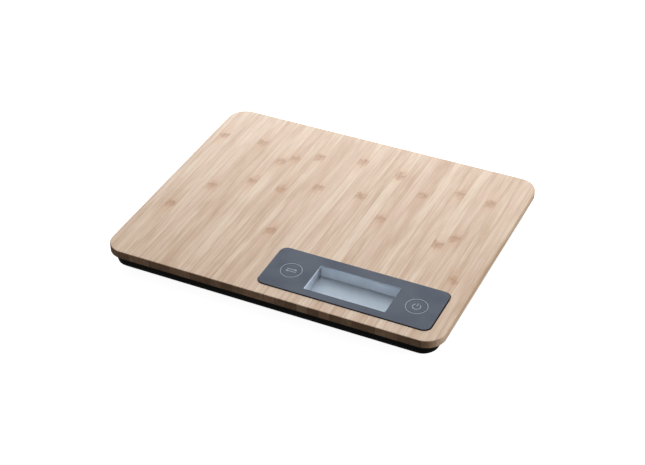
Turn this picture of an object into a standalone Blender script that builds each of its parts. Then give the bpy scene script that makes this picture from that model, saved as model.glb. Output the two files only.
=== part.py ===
"""Slim kitchen scale: a bamboo weighing board with an inset control panel, on a shallow black base.

The board, base, panel and electronics are one rigid housing. It stands on four feet, and each foot
pushes up on its own steel load cell. A hinged door in the underside covers the coin cell.
Metres, +Z up. The origin is on the table, under the middle of the board. -Y is the front.
"""

import math

import bmesh
import bpy
from mathutils import Vector

MM = 0.001
FRONT = -1
LEFT = -1

# Gap kept between two pieces that touch on the real object
TOUCH = 0.3 * MM
THIN_TOUCH = 0.15 * MM

# Board
BOARD_SIZE = (230 * MM, 182 * MM)
BOARD_CORNER = 13 * MM
BOARD_TOP = 16 * MM
BOARD_THICK = 5.2 * MM
BOARD_BOTTOM = BOARD_TOP - BOARD_THICK
BOARD_EDGE_ROUND = 0.6 * MM

# Control panel: a hard clear plate, painted on its back, let into the board
PANEL_SIZE = (115.3 * MM, 39 * MM)
PANEL_CORNER = 5 * MM
PANEL_THICK = 1.5 * MM
PANEL_PROUD = 0.45 * MM
PANEL_MARGIN = (9.6 * MM, 9 * MM)
PANEL_CENTRE = (
    BOARD_SIZE[0] / 2 - PANEL_MARGIN[0] - PANEL_SIZE[0] / 2,
    -BOARD_SIZE[1] / 2 + PANEL_MARGIN[1] + PANEL_SIZE[1] / 2,
)
PANEL_TOP = BOARD_TOP + PANEL_PROUD
PANEL_BOTTOM = PANEL_TOP - PANEL_THICK
PANEL_LEDGE = 3 * MM
TAPE_THICK = 0.3 * MM
LEDGE_TOP = PANEL_BOTTOM - TAPE_THICK - 2 * THIN_TOUCH
WINDOW_SIZE = (54.5 * MM, 25 * MM)
WINDOW_CENTRE = (PANEL_CENTRE[0] - 0.2 * MM, PANEL_CENTRE[1] - 1.1 * MM)
KEY_SPREAD = 42.1 * MM
KEY_DROP = 0.6 * MM
KEY_RADIUS = 6.35 * MM
KEY_FLANGE_RADIUS = 7.4 * MM
KEY_FLANGE_THICK = 0.6 * MM
KEY_STEM_RADIUS = 1.5 * MM
KEY_TRAVEL = 0.3 * MM

# Key board: hangs under the panel on four posts, and bends round the display's light tunnel
KEY_BOARD_SIZE = (104 * MM, 31 * MM)
KEY_BOARD_CENTRE = (PANEL_CENTRE[0], PANEL_CENTRE[1] + 0.5 * MM)
KEY_BOARD_TOP = 11.8 * MM
KEY_BOARD_THICK = 1 * MM
POST_RADIUS = 1.1 * MM
POST_PLACES = [(side * 33.5 * MM, end * 12.5 * MM) for side in (-1, 1) for end in (-1, 1)]
SWITCH_SIZE = (5.2 * MM, 5.2 * MM)
SWITCH_TOP = KEY_BOARD_TOP + 0.15 * MM + 1.3 * MM

# Base shell
BASE_INSET = (4 * MM, 2.5 * MM)
BASE_SIZE = (BOARD_SIZE[0] - 2 * BASE_INSET[0], BOARD_SIZE[1] - 2 * BASE_INSET[1])
BASE_CORNER = 10.5 * MM
BASE_BOTTOM = 1.4 * MM
BASE_TOP = BOARD_BOTTOM - TOUCH
BASE_ROUND = 4 * MM
BASE_WALL = 2 * MM
BASE_FLOOR = BASE_BOTTOM + 1.6 * MM
RIB_WIDTH = 1.2 * MM
RIB_TOP = BASE_FLOOR + MM

# Feet and load cells
FOOT_CENTRE = (92 * MM, 64 * MM)
FOOT_RADIUS = 8.8 * MM
FOOT_OPENING_RADIUS = 9.6 * MM
FOOT_FLANGE_RADIUS = 10.2 * MM
FOOT_RIM = 0.7 * MM
FOOT_STEM_RADIUS = 4 * MM
PAD_RADIUS = 7.6 * MM
PAD_THICK = 1.6 * MM
CELL_BOTTOM = 5.5 * MM
CELL_THICK = 1 * MM
CELL_SIZE = (12 * MM, 40 * MM)
CELL_WAIST = 7.5 * MM
CELL_SCREW_OFFSET = 16 * MM
FOOT_TRAVEL = 0.3 * MM
STEM_TOP = CELL_BOTTOM - FOOT_TRAVEL - 0.05 * MM
GAUGE_SIZE = (5 * MM, 7 * MM, 0.5 * MM)
GAUGE_OFFSET = 8.5 * MM

# Electronics on the base's floor
PCB_SIZE = (76.6 * MM, 42 * MM)
PCB_CENTRE = (42.3 * MM, -63.3 * MM)
PCB_BOTTOM = BASE_FLOOR + TOUCH
PCB_THICK = 1 * MM
PCB_TOP = PCB_BOTTOM + PCB_THICK
LCD_SIZE = (58 * MM, 29 * MM)
LCD_THICK = 1.8 * MM
LCD_TOP = 7.2 * MM
LCD_BOTTOM = LCD_TOP - LCD_THICK
TUNNEL_WALL = 1.5 * MM
TUNNEL_CLEAR = 0.4 * MM
POCKET_CLEAR = 0.4 * MM
POCKET_WALL = 1.4 * MM

# Battery box, in the underside
BOX_SIZE = (46 * MM, 42 * MM)
BOX_CENTRE = (-30 * MM, 20 * MM)
BOX_TOP = 8.4 * MM
DOOR_SIZE = (38 * MM, 32 * MM)
DOOR_THICK = 1.6 * MM
DOOR_TOP = BASE_BOTTOM + DOOR_THICK
DOOR_CORNER = 2.5 * MM
DOOR_GAP = 0.3 * MM
HINGE_Y = BOX_CENTRE[1] + DOOR_SIZE[1] / 2 - DOOR_THICK / 2
HINGE_Z = BASE_BOTTOM + DOOR_THICK / 2
TAB_WIDTH = 5 * MM
TAB_OFFSET = 11 * MM
TAB_REACH = 2.3 * MM
CELL_POCKET_RADIUS = 10.6 * MM
CELL_POCKET_TOP = 7.2 * MM
COIN_RADIUS = 10 * MM
COIN_BOTTOM = DOOR_TOP + TOUCH
COIN_THICK = 3.2 * MM

# Fasteners: head radius, head height, shank radius, length under the head
BOARD_SCREW = (2.8 * MM, 1.3 * MM, 1.1 * MM, 10.9 * MM)
CELL_SCREW = (1.9 * MM, 1.0 * MM, 0.8 * MM, 2.6 * MM)
PCB_SCREW = (1.9 * MM, 0.9 * MM, 0.8 * MM, 2.3 * MM)
SHANK_CLEAR = 0.3 * MM
BOARD_SCREWS = [
    (-100 * MM, 0),
    (100 * MM, 0),
    (-45 * MM, -78 * MM),
    (-45 * MM, 78 * MM),
    (45 * MM, 78 * MM),
    (45 * MM, -34 * MM),
]
BOARD_SCREW_HEAD_TOP = 3.1 * MM
BOSS_RADIUS = 4.2 * MM
HEAD_POCKET_RADIUS = 3.3 * MM

WIRE_RADIUS = 0.7 * MM
WIRE_LEVEL = RIB_TOP + 1.1 * MM
SOLDER_LEVEL = PCB_TOP + TOUCH + WIRE_RADIUS

SEGMENTS = 24
OVERCUT = 2 * MM

KEYS = {"mode": LEFT, "tare": 1}
CORNERS = {
    "front_left": (LEFT, FRONT),
    "front_right": (1, FRONT),
    "back_left": (LEFT, 1),
    "back_right": (1, 1),
}


def clear_scene():
    for obj in list(bpy.data.objects):
        bpy.data.objects.remove(obj)


def make_collection(name, parent=None):
    collection = bpy.data.collections.new(name)
    (parent or bpy.context.scene.collection).children.link(collection)
    return collection


def make_material(name, colour, roughness, metallic=0.0):
    material = bpy.data.materials.new(name)
    material.use_nodes = True
    shader = material.node_tree.nodes["Principled BSDF"]
    shader.inputs["Base Color"].default_value = (*colour, 1)
    shader.inputs["Roughness"].default_value = roughness
    shader.inputs["Metallic"].default_value = metallic
    material.diffuse_color = (*colour, 1)
    return material


def add_object(name, mesh, collection, material=None, location=(0, 0, 0)):
    obj = bpy.data.objects.new(name, mesh)
    obj.location = location
    collection.objects.link(obj)
    if material:
        mesh.materials.append(material)
    return obj


def as_tool(obj):
    """Marks an object as a Boolean operand, which isn't part of the scale."""
    obj.hide_render = True
    obj.display_type = "WIRE"
    return obj


def slab(name, size, z_low, z_high, collection, material=None, centre=(0, 0), corner=0.0,
         bottom_round=0.0, corner_steps=7, round_steps=3):
    """A box with upright rounded corners and, if asked, a rounded lower rim."""
    mesh = bpy.data.meshes.new(name)
    shape = bmesh.new()
    bmesh.ops.create_cube(shape, size=1)
    bmesh.ops.scale(shape, vec=(size[0], size[1], z_high - z_low), verts=shape.verts)
    if corner:
        upright = [e for e in shape.edges if abs(e.verts[0].co.z - e.verts[1].co.z) > 1e-6]
        bmesh.ops.bevel(shape, geom=upright, offset=corner, segments=corner_steps, profile=0.5,
                        affect="EDGES")
    if bottom_round:
        low = -(z_high - z_low) / 2
        rim = [e for e in shape.edges
               if all(abs(v.co.z - low) < 1e-6 for v in e.verts) and len(e.link_faces) == 2]
        bmesh.ops.bevel(shape, geom=rim, offset=bottom_round, segments=round_steps, profile=0.5,
                        affect="EDGES")
    shape.to_mesh(mesh)
    shape.free()
    return add_object(name, mesh, collection, material, (*centre, (z_low + z_high) / 2))


def cylinder(name, radius, z_low, z_high, collection, material=None, centre=(0, 0),
             segments=SEGMENTS):
    mesh = bpy.data.meshes.new(name)
    shape = bmesh.new()
    bmesh.ops.create_cone(shape, cap_ends=True, segments=segments, radius1=radius, radius2=radius,
                          depth=z_high - z_low)
    shape.to_mesh(mesh)
    shape.free()
    return add_object(name, mesh, collection, material, (*centre, (z_low + z_high) / 2))


def turned(name, profile, collection, material, centre=(0, 0), steps=SEGMENTS):
    """A round piece. The profile is (radius, height) points from the top of the axis to its foot."""
    mesh = bpy.data.meshes.new(name)
    points = [(radius, 0, height) for radius, height in profile]
    mesh.from_pydata(points, [(i, i + 1) for i in range(len(points) - 1)], [])
    obj = add_object(name, mesh, collection, material, (*centre, 0))
    screw = obj.modifiers.new("turn", "SCREW")
    screw.steps = screw.render_steps = steps
    screw.use_merge_vertices = True
    screw.merge_threshold = 0.00001
    screw.use_smooth_shade = True
    return obj


def plate(name, outlines, z_low, z_high, collection, material, centre=(0, 0)):
    """A flat plate from closed outlines. The first is its rim, and the others are holes."""
    curve = bpy.data.curves.new(name, "CURVE")
    curve.dimensions = "2D"
    curve.fill_mode = "BOTH"
    curve.extrude = (z_high - z_low) / 2
    for outline in outlines:
        spline = curve.splines.new("POLY")
        spline.points.add(len(outline) - 1)
        spline.use_cyclic_u = True
        for point, (x, y) in zip(spline.points, outline):
            point.co = (x, y, 0, 1)
    obj = bpy.data.objects.new(name, curve)
    obj.location = (*centre, (z_low + z_high) / 2)
    collection.objects.link(obj)
    curve.materials.append(material)
    return obj


def circle(centre, radius, count=12):
    return [
        (centre[0] + radius * math.cos(2 * math.pi * i / count),
         centre[1] + radius * math.sin(2 * math.pi * i / count))
        for i in range(count)
    ]


def smooth_route(points, steps=4):
    """Points on a Catmull-Rom curve through the route's own points."""
    knots = [Vector(p) for p in points]
    knots = [2 * knots[0] - knots[1], *knots, 2 * knots[-1] - knots[-2]]
    route = []
    for a, b, c, d in zip(knots, knots[1:], knots[2:], knots[3:]):
        for i in range(steps):
            t = i / steps
            route.append(
                0.5 * (2 * b + (c - a) * t + (2 * a - 5 * b + 4 * c - d) * t**2
                       + (3 * b - a - 3 * c + d) * t**3)
            )
    return [*route, knots[-2]]


def wire(name, points, collection, material):
    curve = bpy.data.curves.new(name, "CURVE")
    curve.dimensions = "3D"
    curve.bevel_depth = WIRE_RADIUS
    curve.bevel_resolution = 1
    curve.use_fill_caps = True
    route = smooth_route(points)
    spline = curve.splines.new("POLY")
    spline.points.add(len(route) - 1)
    for point, place in zip(spline.points, route):
        point.co = (*place, 1)
    obj = bpy.data.objects.new(name, curve)
    collection.objects.link(obj)
    curve.materials.append(material)
    return obj


def boolean(obj, name, operation, operands):
    modifier = obj.modifiers.new(name, "BOOLEAN")
    modifier.operation = operation
    modifier.solver = "EXACT"
    modifier.operand_type = "COLLECTION"
    modifier.collection = operands
    return modifier


def screw_piece(name, size, seat, collection, material, centre, down=True):
    """A pan-head screw whose head rests at height seat. It points down, or up from an underside."""
    head_radius, head_height, shank_radius, length = size
    way = 1 if down else -1
    point = shank_radius * 1.5
    profile = [
        (0, seat + way * head_height),
        (head_radius * 0.75, seat + way * head_height),
        (head_radius, seat + way * head_height * 0.45),
        (head_radius, seat),
        (shank_radius, seat),
        (shank_radius, seat - way * (length - point)),
        (0, seat - way * length),
    ]
    if not down:
        profile.reverse()
    return turned(name, profile, collection, material, centre, steps=16)


def build_board(parts, tools, bamboo):
    board = slab("bamboo_board", BOARD_SIZE, BOARD_BOTTOM, BOARD_TOP, parts, bamboo,
                 corner=BOARD_CORNER, corner_steps=10)
    edge = board.modifiers.new("soft_edge", "BEVEL")
    edge.width = BOARD_EDGE_ROUND
    edge.segments = 2
    edge.limit_method = "ANGLE"
    edge.angle_limit = math.radians(60)
    cuts = make_collection("board_cuts", tools)
    rebate = [side + 2 * TOUCH for side in PANEL_SIZE]
    as_tool(slab("panel_rebate", rebate, LEDGE_TOP, BOARD_TOP + OVERCUT, cuts,
                 centre=PANEL_CENTRE, corner=PANEL_CORNER + TOUCH))
    opening = [side - 2 * PANEL_LEDGE for side in PANEL_SIZE]
    as_tool(slab("panel_opening", opening, BOARD_BOTTOM - OVERCUT, BOARD_TOP, cuts,
                 centre=PANEL_CENTRE, corner=PANEL_CORNER - 2 * MM, corner_steps=4))
    screw_tip = BOARD_SCREW_HEAD_TOP + BOARD_SCREW[3]
    for i, place in enumerate(BOARD_SCREWS):
        as_tool(cylinder(f"pilot_hole_{i}", BOARD_SCREW[2] + SHANK_CLEAR, BOARD_BOTTOM - OVERCUT,
                         screw_tip + TOUCH, cuts, centre=place, segments=12))
    boolean(board, "openings", "DIFFERENCE", cuts)


def key_centre(side):
    return (PANEL_CENTRE[0] + side * KEY_SPREAD, PANEL_CENTRE[1] - KEY_DROP)


def post_centres():
    return [(KEY_BOARD_CENTRE[0] + x, KEY_BOARD_CENTRE[1] + y) for x, y in POST_PLACES]


def build_panel(parts, tools, slate, tape_grey):
    """The plate has a round hole for each key, and four posts that hold the key board."""
    panel = slab("control_panel", PANEL_SIZE, PANEL_BOTTOM, PANEL_TOP, parts, slate,
                 centre=PANEL_CENTRE, corner=PANEL_CORNER)
    holes = make_collection("panel_cuts", tools)
    for name, side in KEYS.items():
        as_tool(cylinder(f"key_hole_{name}", KEY_RADIUS + THIN_TOUCH, PANEL_BOTTOM - OVERCUT,
                         PANEL_TOP + OVERCUT, holes, centre=key_centre(side), segments=48))
    boolean(panel, "key_holes", "DIFFERENCE", holes)
    posts = make_collection("panel_adds", tools)
    for i, place in enumerate(post_centres()):
        as_tool(cylinder(f"post_{i}", POST_RADIUS, KEY_BOARD_TOP - KEY_BOARD_THICK,
                         PANEL_BOTTOM + 0.5 * MM, posts, centre=place, segments=12))
    boolean(panel, "posts", "UNION", posts)
    tape_low = LEDGE_TOP + THIN_TOUCH
    tape = slab("panel_tape", [side - 0.8 * MM for side in PANEL_SIZE], tape_low,
                tape_low + TAPE_THICK, parts, tape_grey, centre=PANEL_CENTRE,
                corner=PANEL_CORNER - 0.4 * MM, corner_steps=4)
    cuts = make_collection("tape_cuts", tools)
    as_tool(slab("tape_opening", [side - 2 * PANEL_LEDGE + 0.6 * MM for side in PANEL_SIZE],
                 tape_low - OVERCUT, tape_low + OVERCUT, cuts, centre=PANEL_CENTRE,
                 corner=PANEL_CORNER - 2 * MM, corner_steps=4))
    boolean(tape, "opening", "DIFFERENCE", cuts)


def build_keys(parts, tools, slate, green, epoxy):
    """Each key is flush with the panel, held under it by a flange, and presses a dome switch."""
    flange_top = PANEL_BOTTOM - THIN_TOUCH
    flange_low = flange_top - KEY_FLANGE_THICK
    for name, side in KEYS.items():
        turned(f"{name}_key", [
            (0, PANEL_TOP),
            (KEY_RADIUS, PANEL_TOP),
            (KEY_RADIUS, flange_top),
            (KEY_FLANGE_RADIUS, flange_top),
            (KEY_FLANGE_RADIUS, flange_low),
            (KEY_STEM_RADIUS, flange_low),
            (KEY_STEM_RADIUS, SWITCH_TOP + KEY_TRAVEL + 0.05 * MM),
            (0, SWITCH_TOP + KEY_TRAVEL + 0.05 * MM),
        ], parts, slate, key_centre(side), steps=48)
        slab(f"{name}_switch", SWITCH_SIZE, KEY_BOARD_TOP + THIN_TOUCH, SWITCH_TOP, parts, epoxy,
             centre=key_centre(side), corner=0.8 * MM, corner_steps=2)
    board = slab("key_board", KEY_BOARD_SIZE, KEY_BOARD_TOP - KEY_BOARD_THICK, KEY_BOARD_TOP,
                 parts, green, centre=KEY_BOARD_CENTRE, corner=MM, corner_steps=2)
    cuts = make_collection("key_board_cuts", tools)
    tunnel = [side + 2 * (TUNNEL_CLEAR + TUNNEL_WALL + TOUCH) for side in WINDOW_SIZE]
    as_tool(slab("tunnel_clearance", tunnel, KEY_BOARD_TOP - OVERCUT, KEY_BOARD_TOP + OVERCUT,
                 cuts, centre=WINDOW_CENTRE))
    for i, place in enumerate(post_centres()):
        as_tool(cylinder(f"post_hole_{i}", POST_RADIUS + TOUCH, KEY_BOARD_TOP - OVERCUT,
                         KEY_BOARD_TOP + OVERCUT, cuts, centre=place, segments=12))
    boolean(board, "openings", "DIFFERENCE", cuts)


def build_base(parts, tools, black):
    base = slab("base_shell", BASE_SIZE, BASE_BOTTOM, BASE_TOP, parts, black, corner=BASE_CORNER,
                bottom_round=BASE_ROUND)
    hollow = make_collection("base_hollow", tools)
    as_tool(slab("base_inside", [side - 2 * BASE_WALL for side in BASE_SIZE], BASE_FLOOR,
                 BASE_TOP + OVERCUT, hollow, corner=BASE_CORNER - BASE_WALL,
                 bottom_round=BASE_ROUND - BASE_WALL, round_steps=2))
    boolean(base, "hollow", "DIFFERENCE", hollow)

    adds = make_collection("base_adds", tools)
    sunk = BASE_FLOOR - MM
    as_tool(slab("battery_box", BOX_SIZE, sunk, BOX_TOP, adds, centre=BOX_CENTRE, corner=2 * MM,
                 corner_steps=2))
    for i, place in enumerate(BOARD_SCREWS):
        as_tool(cylinder(f"screw_boss_{i}", BOSS_RADIUS, sunk, BASE_TOP - 0.2 * MM, adds,
                         centre=place, segments=16))
    for name, (sx, sy) in CORNERS.items():
        for end in (-1, 1):
            place = (sx * FOOT_CENTRE[0], sy * FOOT_CENTRE[1] + end * CELL_SCREW_OFFSET)
            as_tool(slab(f"cell_seat_{name}_{end}", (CELL_SIZE[0], 8 * MM), sunk,
                         CELL_BOTTOM - TOUCH, adds, centre=place))
    ribs = {
        "left": ((-66 * MM, 0), (RIB_WIDTH, 160 * MM)),
        "middle": ((24 * MM, 22 * MM), (RIB_WIDTH, 116 * MM)),
        "right": ((64 * MM, 22 * MM), (RIB_WIDTH, 116 * MM)),
        "front": ((0, -27 * MM), (206 * MM, RIB_WIDTH)),
        "back": ((0, 54 * MM), (150 * MM, RIB_WIDTH)),
    }
    for name, (centre, size) in ribs.items():
        as_tool(slab(f"rib_{name}", size, sunk, RIB_TOP, adds, centre=centre))
    boolean(base, "bosses", "UNION", adds)

    cuts = make_collection("base_cuts", tools)
    below = BASE_BOTTOM - OVERCUT
    for i, place in enumerate(BOARD_SCREWS):
        as_tool(cylinder(f"head_pocket_{i}", HEAD_POCKET_RADIUS, below,
                         BOARD_SCREW_HEAD_TOP + TOUCH, cuts, centre=place, segments=16))
        as_tool(cylinder(f"screw_hole_{i}", BOARD_SCREW[2] + SHANK_CLEAR,
                         BOARD_SCREW_HEAD_TOP, BASE_TOP + OVERCUT, cuts, centre=place,
                         segments=12))
    for name, (sx, sy) in CORNERS.items():
        centre = (sx * FOOT_CENTRE[0], sy * FOOT_CENTRE[1])
        as_tool(cylinder(f"foot_opening_{name}", FOOT_OPENING_RADIUS, below,
                         BASE_FLOOR + OVERCUT, cuts, centre=centre, segments=32))
        for end in (-1, 1):
            place = (centre[0], centre[1] + end * CELL_SCREW_OFFSET)
            as_tool(cylinder(f"cell_hole_{name}_{end}", CELL_SCREW[2] + SHANK_CLEAR,
                             BASE_FLOOR, CELL_BOTTOM + OVERCUT, cuts, centre=place, segments=12))
    for i, place in enumerate(pcb_screw_places()):
        as_tool(cylinder(f"pcb_hole_{i}", PCB_SCREW[2] + SHANK_CLEAR,
                         PCB_TOP - PCB_SCREW[3] - TOUCH, BASE_FLOOR + OVERCUT, cuts,
                         centre=place, segments=12))
    as_tool(slab("door_recess", [side + 2 * DOOR_GAP for side in DOOR_SIZE], below,
                 DOOR_TOP + 0.1 * MM, cuts, centre=BOX_CENTRE, corner=DOOR_CORNER + DOOR_GAP,
                 corner_steps=4))
    hinge_edge = BOX_CENTRE[1] + DOOR_SIZE[1] / 2 + DOOR_GAP
    as_tool(slab("hinge_recess", (DOOR_SIZE[0] + 2 * DOOR_GAP, 4 * MM), below,
                 DOOR_TOP + 0.1 * MM, cuts, centre=(BOX_CENTRE[0], hinge_edge - 2 * MM)))
    as_tool(cylinder("coin_pocket", CELL_POCKET_RADIUS, DOOR_TOP - MM, CELL_POCKET_TOP, cuts,
                     centre=BOX_CENTRE, segments=32))
    as_tool(slab("side_contact_slot", (3 * MM, 8 * MM), DOOR_TOP - MM, CELL_POCKET_TOP, cuts,
                 centre=(BOX_CENTRE[0] + CELL_POCKET_RADIUS, BOX_CENTRE[1])))
    for side in (-1, 1):
        place = (BOX_CENTRE[0] + side * TAB_OFFSET, HINGE_Y + 0.5 * MM)
        as_tool(slab(f"tab_pocket_{side}", (TAB_WIDTH + MM, 4.6 * MM), HINGE_Z - 0.2 * MM,
                     HINGE_Z + 2.8 * MM, cuts, centre=place))
        lead = (BOX_CENTRE[0] + side * 6 * MM, BOX_CENTRE[1] - BOX_SIZE[1] / 2 + 4 * MM)
        as_tool(slab(f"lead_slot_{side}", (2.4 * MM, 12 * MM), DOOR_TOP + 1.5 * MM,
                     CELL_POCKET_TOP, cuts, centre=lead))
    boolean(base, "openings", "DIFFERENCE", cuts)


def build_door(parts, tools, black):
    """The door's back edge is half round on the hinge line, so it clears the recess as it opens."""
    length = DOOR_SIZE[1] + DOOR_CORNER
    door = slab("battery_door", (DOOR_SIZE[0], length), -DOOR_THICK / 2, DOOR_THICK / 2, parts,
                black, centre=(0, length / 2 - DOOR_SIZE[1] + DOOR_THICK / 2),
                corner=DOOR_CORNER, corner_steps=4)
    hinge = bpy.data.objects.new("door_hinge", None)
    hinge.location = (BOX_CENTRE[0], HINGE_Y, HINGE_Z)
    parts.objects.link(hinge)
    door.parent = hinge

    tab_low = 0.1 * MM
    adds = make_collection("door_adds", tools)
    for side in (-1, 1):
        tab = slab(f"door_tab_{side}", (TAB_WIDTH, TAB_REACH + 2 * MM), tab_low, DOOR_THICK / 2,
                   adds, centre=(side * TAB_OFFSET, TAB_REACH / 2 - MM))
        as_tool(tab).parent = hinge
    cuts = make_collection("door_cuts", tools)
    width = DOOR_SIZE[0]
    keep = cylinder("hinge_round", DOOR_THICK / 2, -width, width, cuts, segments=24)
    back = slab("hinge_trim", (2 * width, 8 * MM), -DOOR_THICK, DOOR_THICK, cuts,
                centre=(0, 4 * MM))
    keep.rotation_euler.y = math.pi / 2
    keep.parent = back.parent = hinge
    as_tool(keep)
    as_tool(back)
    trim = back.modifiers.new("keep_round", "BOOLEAN")
    trim.operation = "DIFFERENCE"
    trim.object = keep
    cuts.objects.unlink(keep)
    tools.objects.link(keep)
    front = -DOOR_SIZE[1] + DOOR_THICK / 2
    for side in (-1, 1):
        slot = slab(f"latch_slot_{side}", (0.8 * MM, 7 * MM), -DOOR_THICK, DOOR_THICK, cuts,
                    centre=(side * 6 * MM, front + 2.5 * MM))
        as_tool(slot).parent = hinge
    grip = slab("finger_notch", (9 * MM, 2.4 * MM), -DOOR_THICK, 0, cuts,
                centre=(0, front + 0.4 * MM))
    as_tool(grip).parent = hinge
    boolean(door, "trim", "DIFFERENCE", cuts)
    boolean(door, "tabs", "UNION", adds)


def build_battery(parts, steel, nickel):
    top = COIN_BOTTOM + COIN_THICK
    turned("coin_cell", [
        (0, top),
        (COIN_RADIUS - 1.3 * MM, top),
        (COIN_RADIUS - 1.3 * MM, top - 0.3 * MM),
        (COIN_RADIUS - 0.4 * MM, top - 0.3 * MM),
        (COIN_RADIUS, top - 0.7 * MM),
        (COIN_RADIUS, COIN_BOTTOM + 0.3 * MM),
        (COIN_RADIUS - 0.3 * MM, COIN_BOTTOM),
        (0, COIN_BOTTOM),
    ], parts, steel, BOX_CENTRE, steps=32)
    leaf = 0.3 * MM
    slab("contact_top", (6 * MM, 14 * MM), top + THIN_TOUCH, top + THIN_TOUCH + leaf, parts,
         nickel, centre=(BOX_CENTRE[0] - 3 * MM, BOX_CENTRE[1]), corner=MM, corner_steps=2)
    slab("contact_side", (leaf, 6.5 * MM), COIN_BOTTOM + 0.5 * MM, top, parts, nickel,
         centre=(BOX_CENTRE[0] + COIN_RADIUS + 0.8 * MM, BOX_CENTRE[1]))


def cell_outline():
    """A strip that narrows on both sides of its middle, where it bends and the gauges sit."""
    half_x, half_y = CELL_SIZE[0] / 2, CELL_SIZE[1] / 2
    waist = CELL_WAIST / 2
    right = [
        (half_x, -half_y),
        (half_x, -11 * MM),
        (waist, -9.5 * MM),
        (waist, -6 * MM),
        (half_x, -4.5 * MM),
        (half_x, 4.5 * MM),
        (waist, 6 * MM),
        (waist, 9.5 * MM),
        (half_x, 11 * MM),
        (half_x, half_y),
    ]
    return right + [(-x, y) for x, y in reversed(right)]


def build_feet(parts, plastic, rubber, steel, gauge, zinc):
    cell_top = CELL_BOTTOM + CELL_THICK
    holes = [circle((0, end * CELL_SCREW_OFFSET), CELL_SCREW[2] + SHANK_CLEAR) for end in (-1, 1)]
    for name, (sx, sy) in CORNERS.items():
        centre = (sx * FOOT_CENTRE[0], sy * FOOT_CENTRE[1])
        flange_low = BASE_FLOOR + 0.35 * MM
        turned(f"foot_cup_{name}", [
            (0, STEM_TOP),
            (FOOT_STEM_RADIUS, STEM_TOP),
            (FOOT_STEM_RADIUS, flange_low + 0.9 * MM),
            (FOOT_FLANGE_RADIUS, flange_low + 0.9 * MM),
            (FOOT_FLANGE_RADIUS, flange_low),
            (FOOT_RADIUS, flange_low),
            (FOOT_RADIUS, FOOT_RIM + 0.4 * MM),
            (FOOT_RADIUS - 0.4 * MM, FOOT_RIM),
            (PAD_RADIUS + TOUCH, FOOT_RIM),
            (PAD_RADIUS + TOUCH, PAD_THICK + TOUCH),
            (0, PAD_THICK + TOUCH),
        ], parts, plastic, centre)
        turned(f"foot_pad_{name}", [
            (0, PAD_THICK),
            (PAD_RADIUS, PAD_THICK),
            (PAD_RADIUS, 0.4 * MM),
            (PAD_RADIUS - 0.4 * MM, 0),
            (0, 0),
        ], parts, rubber, centre)
        plate(f"load_cell_{name}", [cell_outline(), *holes], CELL_BOTTOM, cell_top, parts, steel,
              centre)
        slab(f"strain_gauge_{name}", GAUGE_SIZE[:2], cell_top + THIN_TOUCH,
             cell_top + THIN_TOUCH + GAUGE_SIZE[2], parts, gauge,
             centre=(centre[0], centre[1] - sy * GAUGE_OFFSET), corner=MM, corner_steps=2)
        for place, end in (("outer", sy), ("inner", -sy)):
            screw_piece(f"cell_screw_{name}_{place}", CELL_SCREW, cell_top + THIN_TOUCH, parts,
                        zinc, (centre[0], centre[1] + end * CELL_SCREW_OFFSET))


def pcb_screw_places():
    half = PCB_SIZE[1] / 2 - 2.3 * MM
    left = PCB_CENTRE[0] - PCB_SIZE[0] / 2 + 3 * MM
    right = PCB_CENTRE[0] + PCB_SIZE[0] / 2 - 2.7 * MM
    return [(left, PCB_CENTRE[1] - half), (right, PCB_CENTRE[1] + half)]


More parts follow.
